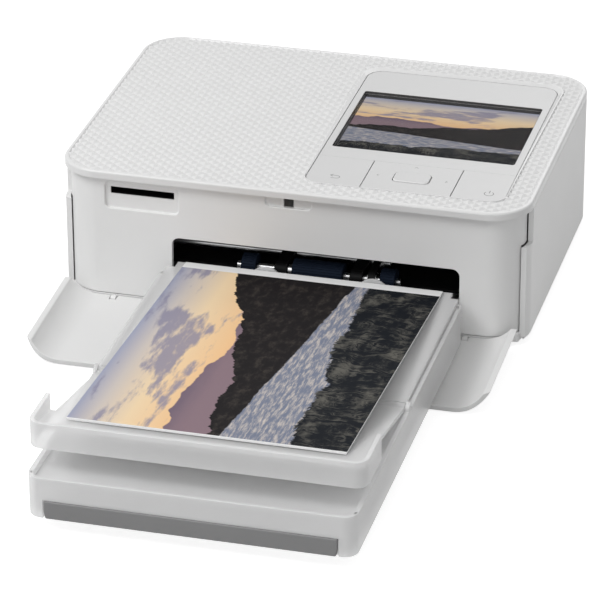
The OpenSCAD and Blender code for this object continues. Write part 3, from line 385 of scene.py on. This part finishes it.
def paintLandscape(made, along, up, look):
    streak = made.noise(made.join(along * 1.3, up * 5.5, 3.7), 1.7, 5, 0.6)
    sky = made.ramp(up, look["sky"])
    clouds = made.fade(streak, 0.50, 0.60) * made.fade(up, 0.56, 0.68) * 0.85
    picture = made.blend(clouds, sky, look["cloud"])
    hills = made.noise(made.join(along * 1.9, 0.0, 1.1), 1.0, 5, 0.5)
    haze = made.blend(made.fade(up + streak * 0.1, 0.62, 0.80), look["ridgeHaze"], look["farRidge"])
    ridge = hills * 0.3 + look["ridgeAt"]
    picture = made.blend(made.fade(ridge - up, -0.003, 0.003), picture, haze)
    rough = made.noise(made.join(along * 5.0, up * 5.0, 8.2), 1.0, 6, 0.68)
    pines = made.noise(made.join(along * 17.0, 0.0, 4.4), 1.0, 6, 0.7) * 0.07
    crest = made.noise(made.join(along * 0.9, 0.0, 5.3), 1.0, 3, 0.5) * 0.55 + along * 0.16 + pines
    scree = made.noise(made.join(along * 16, up * 26, 2.0), 1.0, 5, 0.7)
    slope = made.blend(made.fade(scree, 0.45, 0.75), look["slope"], look["slopeLight"])
    picture = made.blend(made.fade(crest + look["slopeAt"] - up, -0.002, 0.002), picture, slope)
    ripple = made.noise(made.join(along * 14.0, up * 85.0, 6.0), 1.0, 5, 0.7)
    lake = made.blend(made.fade(ripple, 0.42, 0.68), look["lake"], look["lakeLight"])
    shore = look["shoreAt"] + rough * 0.05 - along * 0.09
    picture = made.blend(made.fade(shore - up, -0.003, 0.003), picture, lake)
    lift = made.noise(made.join(along * 3.0, 0.0, 9.0), 1.0, 4, 0.6)
    sway = made.noise(made.join(along * 6, up * 4, 1.0), 1.0, 3, 0.6)
    blades = made.noise(made.join(along * 55 + sway * 18, up * 9, 0.5), 1.0, 5, 0.75)
    clumps = made.noise(made.join(along * 8, up * 14, 3.0), 1.0, 4, 0.6)
    tufts = made.fade(blades * 0.7 + clumps * 0.5, 0.56, 0.78)
    heath = made.blend(tufts, look["heath"], look["heathLight"])
    near = look["heathAt"] + lift * 0.16 + blades * 0.07 + along * 0.06
    return made.blend(made.fade(near - up, -0.004, 0.004), picture, heath)


pictureFields = {
    "print": {"low": (-0.0398, -0.1292), "size": (0.100, 0.1477),
              "rearMargin": 0.0052, "frontMargin": 0.0008},
    "screen": {"low": (0.0063, 0.0632), "size": (0.0707, 0.053)},
}


def printedPicture(name, field):
    made = Finish(name, ior=1.12, specular=0.1)
    x, y = made.axes(made.place())[:2]
    up = (field["low"][0] + field["size"][0] - x) * (1 / field["size"][0])
    along = (y - field["low"][1]) * (1 / field["size"][0])
    picture = paintLandscape(made, along, up, landscape)
    rear = field["low"][1] + field["size"][1]
    inside = (made.fade(rear - field["rearMargin"] - y, 0, 0.0001)
              * made.fade(y - field["low"][1] - field["frontMargin"], 0, 0.0001))
    made.feed("Base Color", made.blend(inside, grey(0.84), picture))
    fine = made.noise(made.place(), 1500, 3)
    made.feed("Roughness", fine * 0.1 + 0.27)
    made.bump(fine, 0.002 * mm)
    return made


def litScreen(name, field):
    made = Finish(name, glow=0.85, colour=(*grey(0.005), 1), ior=1.1, specular=0.1)
    x, y = made.axes(made.place())[:2]
    up = (y - field["low"][1]) * (1 / field["size"][1])
    along = (x - field["low"][0]) * (1 / field["size"][1])
    made.feed("Emission Color", paintLandscape(made, along, up, landscape))
    made.feed("Roughness", made.noise(made.place(), 2500, 2) * 0.1 + 0.3)
    return made


finishes["printPicture"] = printedPicture("printPicture", pictureFields["print"])
finishes["screenPicture"] = litScreen("screenPicture", pictureFields["screen"])


def tintedPane(name):
    made = Finish(name, alpha=0.1, ior=1.15, specular=0.2)
    at = made.place()
    made.feed("Base Color", made.blend(made.noise(at, 60, 3), grey(0.01), grey(0.02)))
    made.feed("Roughness", made.noise(at, 300, 3) * 0.06 + 0.06)
    return made


finishes["screenTint"] = tintedPane("screenTint")
print("finishes made:", len(finishes))


# Finishes of the nodes that stay as they are
slotFinish = {
    "white_shell": "shellWhite", "white_keys": "keyShadedWhite", "frosted": "frosted",
    "grey_plastic": "barGrey", "black_plastic": "blackPlastic", "screen": "frameDark",
    "steel": "brightSteel", "black_steel": "shadedBlackSteel", "heatsink": "heatsinkAlu",
    "navy_rubber": "navyRubber", "black_rubber": "blackRubber", "acetal": "acetal",
    "ceramic": "ceramic", "board": "board", "ribbon_blue": "ribbonBlue", "paper": "paperEdges",
    "print": "paperWhite",
}
for node, solid in frame["nodes"].items():
    solid.data.materials.clear()
    solid.data.materials.append(finishes[slotFinish[slotOf[node]]].material)


def soloSelect(piece):
    bpy.ops.object.select_all(action="DESELECT")
    piece.select_set(True)
    bpy.context.view_layer.objects.active = piece


def editMesh(piece):
    soloSelect(piece)
    bpy.ops.object.mode_set(mode="EDIT")
    bpy.ops.mesh.select_all(action="SELECT")


def leaveEdit():
    bpy.ops.object.mode_set(mode="OBJECT")


def settle(piece, name, look, body):
    # Name, finish and body of a finished piece, with its place in its mesh
    soloSelect(piece)
    bpy.ops.object.transform_apply(location=True, rotation=True, scale=True)
    piece.name = piece.data.name = name
    piece.data.materials.clear()
    piece.data.materials.append(finishes[look].material)
    bpy.ops.object.shade_smooth_by_angle(angle=smoothAngle)
    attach(piece, body)


def secondFinish(piece, look, wanted):
    # Another finish on the faces that wanted() picks
    piece.data.materials.append(finishes[look].material)
    for face in piece.data.polygons:
        if wanted(face):
            face.material_index = 1


def applyModifier(piece, kind, **settings):
    soloSelect(piece)
    made = piece.modifiers.new(kind.lower(), kind)
    for key, value in settings.items():
        setattr(made, key, value)
    bpy.ops.object.modifier_apply(modifier=made.name)


# Joining of the copied triangles: lengths in mm, angles in degrees
cleaning = {"merge": 0.002, "flat": 0.6, "quadFace": 1, "quadShape": 40}


def copyOfNode(node, name, look):
    solid = frame["nodes"][node]
    piece = bpy.data.objects.new(name, solid.data.copy())
    bpy.context.collection.objects.link(piece)
    editMesh(piece)
    bpy.ops.mesh.customdata_custom_splitnormals_clear()
    bpy.ops.mesh.remove_doubles(threshold=cleaning["merge"] * mm)
    bpy.ops.mesh.dissolve_limited(angle_limit=math.radians(cleaning["flat"]))
    bpy.ops.mesh.quads_convert_to_tris(ngon_method="BEAUTY")
    bpy.ops.mesh.tris_convert_to_quads(face_threshold=math.radians(cleaning["quadFace"]),
                                       shape_threshold=math.radians(cleaning["quadShape"]))
    leaveEdit()
    settle(piece, name, look, bodyOf[node])
    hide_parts(node)
    return piece


sharpAngle = math.radians(35)
tightCorner = 0.45   # share of the shortest edge that a rounding may take at a corner


def roundEdges(piece, width, segments, share=None):
    # Bevels the sharp edges, each by the share of the width that share() gives it
    work = bmesh.new()
    work.from_mesh(piece.data)
    layers = work.edges.layers.float
    layer = layers.get("bevel_weight_edge") or layers.new("bevel_weight_edge")
    chosen = {}
    for edge in work.edges:
        edge[layer] = 0
        if len(edge.link_faces) == 2 and edge.calc_face_angle(0) > sharpAngle:
            wanted = share(edge.verts[0].co, edge.verts[1].co) if share else 1.0
            if wanted:
                chosen[edge] = wanted
    for edge, wanted in chosen.items():
        for vert in edge.verts:
            if sum(1 for other in vert.link_edges if other in chosen) > 2:
                shortest = min(other.calc_length() for other in vert.link_edges)
                wanted = min(wanted, tightCorner * shortest / width)
        edge[layer] = wanted
    work.to_mesh(piece.data)
    work.free()
    applyModifier(piece, "BEVEL", width=width, segments=segments, limit_method="WEIGHT",
                  use_clamp_overlap=False, loop_slide=False)
    soloSelect(piece)
    bpy.ops.object.shade_smooth_by_angle(angle=smoothAngle)


def evenNormals(piece):
    # Flat faces shade flat up to their rounded edges
    applyModifier(piece, "WEIGHTED_NORMAL", mode="FACE_AREA", weight=100, keep_sharp=True)


def addPrism(low, high, radius=0.0, segments=1):
    # A block from corner to corner with rounded upright edges
    size = [h - l for l, h in zip(low, high)]
    bpy.ops.object.select_all(action="DESELECT")
    bpy.ops.mesh.primitive_cube_add(size=1, location=[(l + h) / 2 for l, h in zip(low, high)])
    piece = bpy.context.active_object
    piece.scale = size
    bpy.ops.object.transform_apply(location=True, rotation=True, scale=True)
    if radius:
        roundEdges(piece, radius, segments, lambda a, b: abs(a.z - b.z) > size[2] / 2)
    return piece


def cutWith(piece, tool, operation="DIFFERENCE"):
    applyModifier(piece, "BOOLEAN", operation=operation, solver="EXACT", object=tool)
    bpy.data.objects.remove(tool)


# Lid with its faceted field
lid = {
    "low": (-91.1, 17.45), "high": (91.1, 150.45), "top": 57.6, "corner": 16,
    "rimRound": 1.0, "rimSegments": 6,      # the lid's outer edge
    "rimOut": 0.02, "rimUnder": 0.01, "rimFoot": 40, "rimCorner": 20,
    "band": 1.5, "bandSlope": 0.8,  # smooth band round the facets and the run of its inner edge
    "bandFoot": 56, "bandOver": 0.8, "bandCorner": 16,
    "panelLow": (3.0, 28.55), "panelHigh": (80.3, 137.15), "panelCorner": 6.5, "panelSink": 0.62,
    "panelSlope": (0.1, 1.7), "panelBand": (0.35, 2.1),  # at the panel's front and rear
    "panelSpan": (50, 60), "panelSegments": 12, "slopeOver": 0.2, "slopeMargin": 0.05,
    "pitch": (5.2, 4.23),  # of the facets across and deep, in staggered rows
    "facetInset": 1.3, "facetDepth": 0.7,
    "facetCount": 68, "facetReach": (95, 71), "facetGap": 0.02, "facetBody": 2,
    "crispBelow": 0.5,     # facets within this much of the top keep crisp faces
}
lidMiddle = [(low + high) / 2 for low, high in zip(lid["low"], lid["high"])]


def lengthen(value, middle, half, reach):
    # Place of a point when the half length about the middle grows by reach
    return middle + (value - middle) * (half + reach) / half


def roundedBlock():
    # Block over the whole lid with its top edge rounded, a hair larger than the lid in plan
    out = lid["rimOut"]
    low = [(c - out) * mm for c in lid["low"]] + [lid["rimFoot"] * mm]
    high = [(c + out) * mm for c in lid["high"]] + [(lid["top"] - lid["rimUnder"]) * mm]
    block = addPrism(low, high, (lid["corner"] + out) * mm, lid["rimCorner"])
    middle = (low[2] + high[2]) / 2
    roundEdges(block, lid["rimRound"] * mm, lid["rimSegments"],
               lambda a, b: min(a.z, b.z) > middle)
    return block


def facetMould():
    # Sheet of low flat-topped pyramids over the lid, made solid upwards
    across, deep = lid["pitch"]
    count = lid["facetCount"]
    base = lid["top"] - lid["facetDepth"] - lid["facetGap"]
    bpy.ops.object.select_all(action="DESELECT")
    bpy.ops.mesh.primitive_grid_add(x_subdivisions=count, y_subdivisions=count,
                                    size=count * math.sqrt(0.5), rotation=(0, 0, math.radians(45)))
    mould = bpy.context.active_object
    bpy.ops.object.transform_apply(location=True, rotation=True, scale=True)
    for vert in mould.data.vertices:
        vert.co = (vert.co.x * across * mm, (vert.co.y * deep + lidMiddle[1]) * mm, base * mm)
    editMesh(mould)
    bpy.ops.mesh.select_mode(type="FACE")
    bpy.ops.mesh.select_all(action="DESELECT")
    leaveEdit()
    for face in mould.data.polygons:
        away = [abs(face.center[axis] / mm - lidMiddle[axis]) for axis in (0, 1)]
        face.select = away[0] >= lid["facetReach"][0] or away[1] >= lid["facetReach"][1]
    bpy.ops.object.mode_set(mode="EDIT")
    bpy.ops.mesh.delete(type="FACE")
    bpy.ops.mesh.select_all(action="SELECT")
    bpy.ops.mesh.inset(thickness=lid["facetInset"] * mm, depth=lid["facetDepth"] * mm,
                       use_individual=True)
    bpy.ops.mesh.select_all(action="SELECT")
    bpy.ops.mesh.extrude_region_move(
        TRANSFORM_OT_translate={"value": (0, 0, lid["facetBody"] * mm)})
    bpy.ops.mesh.select_all(action="SELECT")
    bpy.ops.mesh.normals_make_consistent(inside=False)
    leaveEdit()
    cutWith(mould, bandTool(), "INTERSECT")
    cutWith(mould, panelTool(*lid["panelSpan"], lid["panelBand"], lid["panelBand"]))
    return mould


def bandTool():
    # Prism within the smooth band, flared upwards for the band's sloping inner edge
    band = lid["band"]
    tool = addPrism([(c + band) * mm for c in lid["low"]] + [lid["bandFoot"] * mm],
                    [(c - band) * mm for c in lid["high"]] + [(lid["top"] + lid["bandOver"]) * mm],
                    (lid["corner"] - band) * mm, lid["bandCorner"])
    for vert in tool.data.vertices:
        past = (vert.co.z / mm - lid["top"]) * lid["bandSlope"]
        for axis in (0, 1):
            half = (lid["high"][axis] - lid["low"][axis]) / 2 - band
            vert.co[axis] = lengthen(vert.co[axis], lidMiddle[axis] * mm, half, past)
    return tool


def panelTool(foot, top, footReach, topReach):
    # Prism over the control panel; each reach past its edge is for the front and the rear
    low, high = lid["panelLow"], lid["panelHigh"]
    tool = addPrism([c * mm for c in low] + [foot * mm], [c * mm for c in high] + [top * mm],
                    lid["panelCorner"] * mm, lid["panelSegments"])
    middle = [(a + b) / 2 for a, b in zip(low, high)]
    for vert in tool.data.vertices:
        front, rear = topReach if vert.co.z > (foot + top) / 2 * mm else footReach
        along = (vert.co.y / mm - low[1]) / (high[1] - low[1])
        reach = front + (rear - front) * along
        for axis in (0, 1):
            half = (high[axis] - low[axis]) / 2
            vert.co[axis] = lengthen(vert.co[axis], middle[axis] * mm, half, reach)
    return tool


def slopeTool():
    # Flared prism for the slope that runs down to the panel, wider towards the rear
    front, rear = lid["panelSlope"]
    over, margin = lid["slopeOver"], lid["slopeMargin"]
    past = 1 + over / lid["panelSink"]
    return panelTool(lid["top"] - lid["panelSink"], lid["top"] + over, (margin, margin),
                     (front * past, rear * past))


def flattenFacets(piece):
    # Facets keep crisp faces while the rim stays smooth
    for face in piece.data.polygons:
        if face.normal.z > facingUp and face.center.z > (lid["top"] - lid["crispBelow"]) * mm:
            face.use_smooth = False


lidShell = copyOfNode("top_cover", "lidShell", "lidShadedWhite")
cutWith(lidShell, facetMould())
cutWith(lidShell, slopeTool())
cutWith(lidShell, roundedBlock(), "INTERSECT")
soloSelect(lidShell)
bpy.ops.object.shade_smooth_by_angle(angle=smoothAngle)
flattenFacets(lidShell)
evenNormals(lidShell)
print("lid made:", len(lidShell.data.polygons), "faces")


# Shell, door, keys and cassette
shellPieces = {
    # piece: node, finish, edge radius in mm, segments
    "frontShell": ("front_panel", "shellWhite", 0.4, 3),
    "leftShell": ("left_panel", "shellWhite", 0.15, 1),
    "rearShell": ("rear_panel", "shellWhite", 0.25, 2),
    "ribbonDoor": ("ribbon_cover", "shellWhite", 0.15, 1),
    "baseShell": ("bottom_case", "shellWhite", 0.2, 2),
    "doorShell": ("front_door", "shellWhite", 0.3, 2),
    "bezelPlate": ("panel_bezel", "keyShadedWhite", 0.25, 2),
    "menuKey": ("menu_button", "keyShadedWhite", 0.2, 2),
    "padKey": ("pad_button", "keyShadedWhite", 0.2, 2),
    "powerKey": ("power_button", "keyShadedWhite", 0.2, 2),
    "okKey": ("ok_button", "keyShadedWhite", 0.6, 4),
    "trayBox": ("cassette_box", "frosted", 0.25, 2),
    "trayCover": ("cassette_cover", "frosted", 0.25, 2),
    "trayInner": ("cassette_lid", "frosted", 0.25, 2),
    "trayBar": ("cassette_bar", "barGrey", 0.5, 3),
    "wideRoller": ("wide_pickup_roller", "navyRubber", 0.06, 1),
    "smallRollers": ("small_pickup_rollers", "navyRubber", 0.06, 1),
    "rollerArms": ("pickup_frame", "blackPlastic", 0.2, 2),
    "cardSocket": ("card_socket", "blackPlastic", 0.15, 1),
}
# Places and moves of the small changes to the copies, in mm
fitting = {
    "seam": (53.2, 54.0), "seamFrom": 53.3, "seamAbove": 55, "seamMove": 0.22,
    "mouthFront": 20.1, "cardMouth": (-73, -42, 41, 53), "latchMouth": (3, 9.2, 49, 53.5),
    # floor piece: where the squeeze starts, its outer face, and where that face goes
    "floorSide": (86, 91.1, 88.8), "floorRear": (145, 150.45, 148.15),
    "wallEnd": 5.3, "wallLow": 2.6,
    # side walls: each new front edge with the height from which it holds, and the block cut away
    "wallFronts": ((27.45, 0), (33.45, 40.3)), "cutSides": (80, 95), "cutFront": 10, "cutTop": 60,
    # front panel: where its sides start to widen, by how much, and the move of its upper lap
    "widenFrom": 87.6, "widenRight": 0.38, "widenLeft": 0.52, "lapEnd": 31.15, "lapMove": 2,
    "closeTo": 0.05,
    "recessShare": 0.5,
}


def awayFromSeam(a, b):
    # The keys' rear edge and the bezel's front edge stay sharp, so that their seam closes
    start, end = fitting["seam"]
    return 0.0 if all(start * mm < p.y < end * mm for p in (a, b)) else 1.0


def softRecess(a, b):
    # Wide rounding at the mouths of the card and latch recesses, a narrow one elsewhere
    def within(x, z, field):
        left, right, low, high = (c * mm for c in field)
        return left < x < right and low < z < high

    def onMouth(p):
        card = within(p.x, p.z, fitting["cardMouth"])
        latch = within(abs(p.x), p.z, fitting["latchMouth"])
        return p.y < fitting["mouthFront"] * mm and (card or latch)
    return 1.0 if onMouth(a) and onMouth(b) else fitting["recessShare"]


edgeShares = {"menuKey": awayFromSeam, "padKey": awayFromSeam, "powerKey": awayFromSeam,
              "bezelPlate": awayFromSeam, "frontShell": softRecess}


def squeeze(value, start, outer, goal):
    return start + (value - start) * (goal - start) / (outer - start) if value > start else value


def isAt(value, place):
    return abs(value / mm - place) < fitting["closeTo"]


def tuckFloor(piece):
    # The floor piece's rim stands back behind the side and rear walls
    for vert in piece.data.vertices:
        if vert.co.z < fitting["wallEnd"] * mm:
            across = squeeze(abs(vert.co.x) / mm, *fitting["floorSide"]) * mm
            vert.co.x = math.copysign(across, vert.co.x)
            vert.co.y = squeeze(vert.co.y / mm, *fitting["floorRear"]) * mm


def lowerWall(piece):
    # The wall's lower edge covers the floor piece's rim
    for vert in piece.data.vertices:
        if isAt(vert.co.z, fitting["wallEnd"]):
            vert.co.z = fitting["wallLow"] * mm


def trimWall(piece):
    # Side wall with its stepped front edge set back
    lowerWall(piece)
    side = math.copysign(1, sum(vert.co.x for vert in piece.data.vertices))
    left, right = sorted(c * side * mm for c in fitting["cutSides"])
    for edge, low in fitting["wallFronts"]:
        cutWith(piece, addPrism((left, fitting["cutFront"] * mm, low * mm),
                                (right, edge * mm, fitting["cutTop"] * mm)))


def closeSeam(piece):
    # The key's upper part reaches the bezel
    for vert in piece.data.vertices:
        if vert.co.y > fitting["seamFrom"] * mm and vert.co.z > fitting["seamAbove"] * mm:
            vert.co.y += fitting["seamMove"] * mm


def widenFront(piece):
    # The front panel's sides close the groove beside the side walls
    for vert in piece.data.vertices:
        past = min(max(abs(vert.co.x) / mm - fitting["widenFrom"], 0), 1)
        vert.co.x += past * (fitting["widenRight"] if vert.co.x > 0 else -fitting["widenLeft"]) * mm
        if isAt(vert.co.y, fitting["lapEnd"]):
            vert.co.y += fitting["lapMove"] * mm


formChanges = {"baseShell": tuckFloor, "leftShell": trimWall, "rearShell": lowerWall,
               "ribbonDoor": trimWall, "menuKey": closeSeam, "padKey": closeSeam,
               "powerKey": closeSeam, "frontShell": widenFront}
shell = {}
for name, (node, look, width, segments) in shellPieces.items():
    piece = copyOfNode(node, name, look)
    if name in formChanges:
        formChanges[name](piece)
    roundEdges(piece, width * mm, segments, edgeShares.get(name))
    evenNormals(piece)
    shell[name] = piece
okHighlightEdge = (0.2, 0.97)   # upward share of the normal on the key's edge, which takes the lighter shell white as a painted highlight
# The OK key's edge faces get the lighter shell white: a painted highlight along the key's rim
secondFinish(shell["okKey"], "shellWhite", lambda face: okHighlightEdge[0] < face.normal.z < okHighlightEdge[1])
print("shell pieces made:", len(shell))


# Display
display = {
    "low": (5.5, 61.4, 51.0), "high": (77.8, 118.0, 55.8),
    "wellLow": (6.3, 63.2), "wellHigh": (77.0, 116.2), "wellDepth": 1.2, "cutTop": 58,
    "rounding": 0.12, "closeTo": 0.02,
}


def makeDisplay(sizes):
    # Module with a sunk, lit picture under the pane
    bottom = (sizes["high"][2] - sizes["wellDepth"]) * mm
    piece = addPrism([c * mm for c in sizes["low"]], [c * mm for c in sizes["high"]])
    well = addPrism([c * mm for c in sizes["wellLow"]] + [bottom],
                    [c * mm for c in sizes["wellHigh"]] + [sizes["cutTop"] * mm])
    cutWith(piece, well)
    roundEdges(piece, sizes["rounding"] * mm, 1)
    settle(piece, "displayModule", "frameDark", "printer")
    secondFinish(piece, "screenPicture", lambda face: face.normal.z > facingUp
                 and abs(face.center.z - bottom) < sizes["closeTo"] * mm)
    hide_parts("lcd_module")


makeDisplay(display)
pane = copyOfNode("screen_glass", "screenPane", "screenTint")
paneSide = 0.5   # the pane's sides lean less than this share upwards
secondFinish(pane, "frameDark", lambda face: abs(face.normal.z) < paneSide)


# Marks on the keys
markSizes = {"height": 57.0, "flatness": 0.2, "seed": 0.01, "bevelSteps": 2}
powerMark = {"middle": (73.4, 35.7), "radius": 1.75, "sweep": (38, 323, 15), "bar": (36.2, 38.2)}


def ringPoint(angle):
    x, y = powerMark["middle"]
    turn = math.radians(angle)
    return x + powerMark["radius"] * math.sin(turn), y + powerMark["radius"] * math.cos(turn)


keyMarks = {
    # mark: body it rides on, width in mm, runs of points in mm
    "backArrow": ("menu_button", 0.34, [
        [(12.0, 37.2), (14.8, 37.2), (15.6, 36.8), (15.9, 36.0), (15.6, 35.3), (14.8, 34.9),
         (12.6, 34.9)],
        [(13.1, 38.2), (12.0, 37.2), (13.1, 36.2)]]),
    "upTick": ("pad_button", 0.26, [[(41.4, 50.9), (42.1, 51.7), (42.8, 50.9)]]),
    "leftTick": ("pad_button", 0.26, [[(29.7, 42.4), (28.9, 41.7), (29.7, 41.0)]]),
    "rightTick": ("pad_button", 0.26, [[(55.3, 42.5), (56.1, 41.8), (55.3, 41.1)]]),
    "powerRing": ("power_button", 0.34, [
        [ringPoint(angle) for angle in range(*powerMark["sweep"])],
        [(powerMark["middle"][0], y) for y in powerMark["bar"]]]),
}


def drawMark(name, body, width, runs):
    # Flat strokes along the runs, level with the keys' face
    height = markSizes["height"] * mm
    pieces = []
    for run in runs:
        bpy.ops.object.select_all(action="DESELECT")
        bpy.ops.mesh.primitive_plane_add(size=markSizes["seed"] * mm,
                                         location=(run[0][0] * mm, run[0][1] * mm, height))
        bpy.ops.object.mode_set(mode="EDIT")
        bpy.ops.mesh.select_mode(type="VERT")
        bpy.ops.mesh.merge(type="CENTER")
        bpy.ops.mesh.select_all(action="SELECT")
        for here, there in zip(run, run[1:]):
            step = ((there[0] - here[0]) * mm, (there[1] - here[1]) * mm, 0)
            bpy.ops.mesh.extrude_region_move(TRANSFORM_OT_translate={"value": step})
        leaveEdit()
        bpy.ops.object.transform_apply(location=True, rotation=True, scale=True)
        bpy.ops.object.convert(target="CURVE")
        line = bpy.context.active_object
        line.data.bevel_depth = width / 2 * mm
        line.data.bevel_resolution = markSizes["bevelSteps"]
        line.data.use_fill_caps = True
        bpy.ops.object.convert(target="MESH")
        for vert in line.data.vertices:
            vert.co.z = height + (vert.co.z - height) * markSizes["flatness"]
        pieces.append(line)
    bpy.ops.object.select_all(action="DESELECT")
    for piece in pieces:
        piece.select_set(True)
    bpy.context.view_layer.objects.active = pieces[0]
    if len(pieces) > 1:
        bpy.ops.object.join()
    settle(bpy.context.active_object, name, "inkGrey", body)


for name, (body, width, runs) in keyMarks.items():
    drawMark(name, body, width, runs)
print("display and key marks made")


# Print
printSheet = copyOfNode("print_sheet", "printSheet", "paperWhite")
secondFinish(printSheet, "printPicture", lambda face: face.normal.z > facingUp)


# Studio
studio = {
    "ambient": 0.46, "floorTone": 0.45, "floorGrain": 0.01, "floorLift": 0.82,
    "floorSize": 12, "floorHeight": -0.0002,   # metres
    # lamp: place, aim, size in metres, watts
    "lamps": {
        "keyLamp": ((-0.55, -0.50, 0.95), (-0.02, 0.0, 0.03), 0.55, 7.3),
        "frontLamp": ((0.20, -1.05, 0.25), (0.0, 0.0, 0.03), 0.7, 1.3),
        "rimLamp": ((0.10, 0.95, 0.70), (0.0, 0.05, 0.03), 0.6, 2.0),
    },
}


def seenDirectly(finish):
    # Camera, glossy and transmission rays see the plain white backdrop
    rays = finish.node("ShaderNodeLightPath")
    seen = Value(finish, rays.outputs["Is Camera Ray"])
    for kind in ("Is Glossy Ray", "Is Transmission Ray"):
        seen = seen.maths("MAXIMUM", Value(finish, rays.outputs[kind]))
    return seen


def makeFloor():
    bpy.ops.object.select_all(action="DESELECT")
    bpy.ops.mesh.primitive_plane_add(size=studio["floorSize"],
                                     location=(0, 0, studio["floorHeight"]))
    floor = bpy.context.active_object
    floor.name = "studioFloor"
    paint = Finish("floorPaint", glow=1.0, rough=0.9, specular=0.1)
    tones = [grey(studio["floorTone"] - less) for less in (studio["floorGrain"], 0)]
    paint.feed("Base Color", paint.blend(paint.noise(paint.place(), 3, 2), *tones))
    paint.feed("Emission Color",
               paint.blend(seenDirectly(paint), grey(0), grey(studio["floorLift"])))
    floor.data.materials.append(paint.material)


def makeWorld():
    world = bpy.data.worlds.new("studioWorld")
    bpy.context.scene.world = world
    world.use_nodes = True
    sky = Finish.__new__(Finish)
    sky.tree = world.node_tree
    back = sky.tree.nodes["Background"]
    light = sky.blend(seenDirectly(sky), grey(studio["ambient"]), grey(1.0))
    sky.tree.links.new(light.socket, back.inputs["Color"])


def makeLamps():
    for name, (place, aim, size, watts) in studio["lamps"].items():
        lamp = bpy.data.lights.new(name, "AREA")
        lamp.size, lamp.energy = size, watts
        holder = bpy.data.objects.new(name, lamp)
        bpy.context.collection.objects.link(holder)
        holder.location = place
        holder.rotation_euler = (Vector(place) - Vector(aim)).to_track_quat("Z", "Y").to_euler()


makeFloor()
makeWorld()
makeLamps()
bpy.context.scene.view_settings.view_transform = "Standard"
print("studio made")
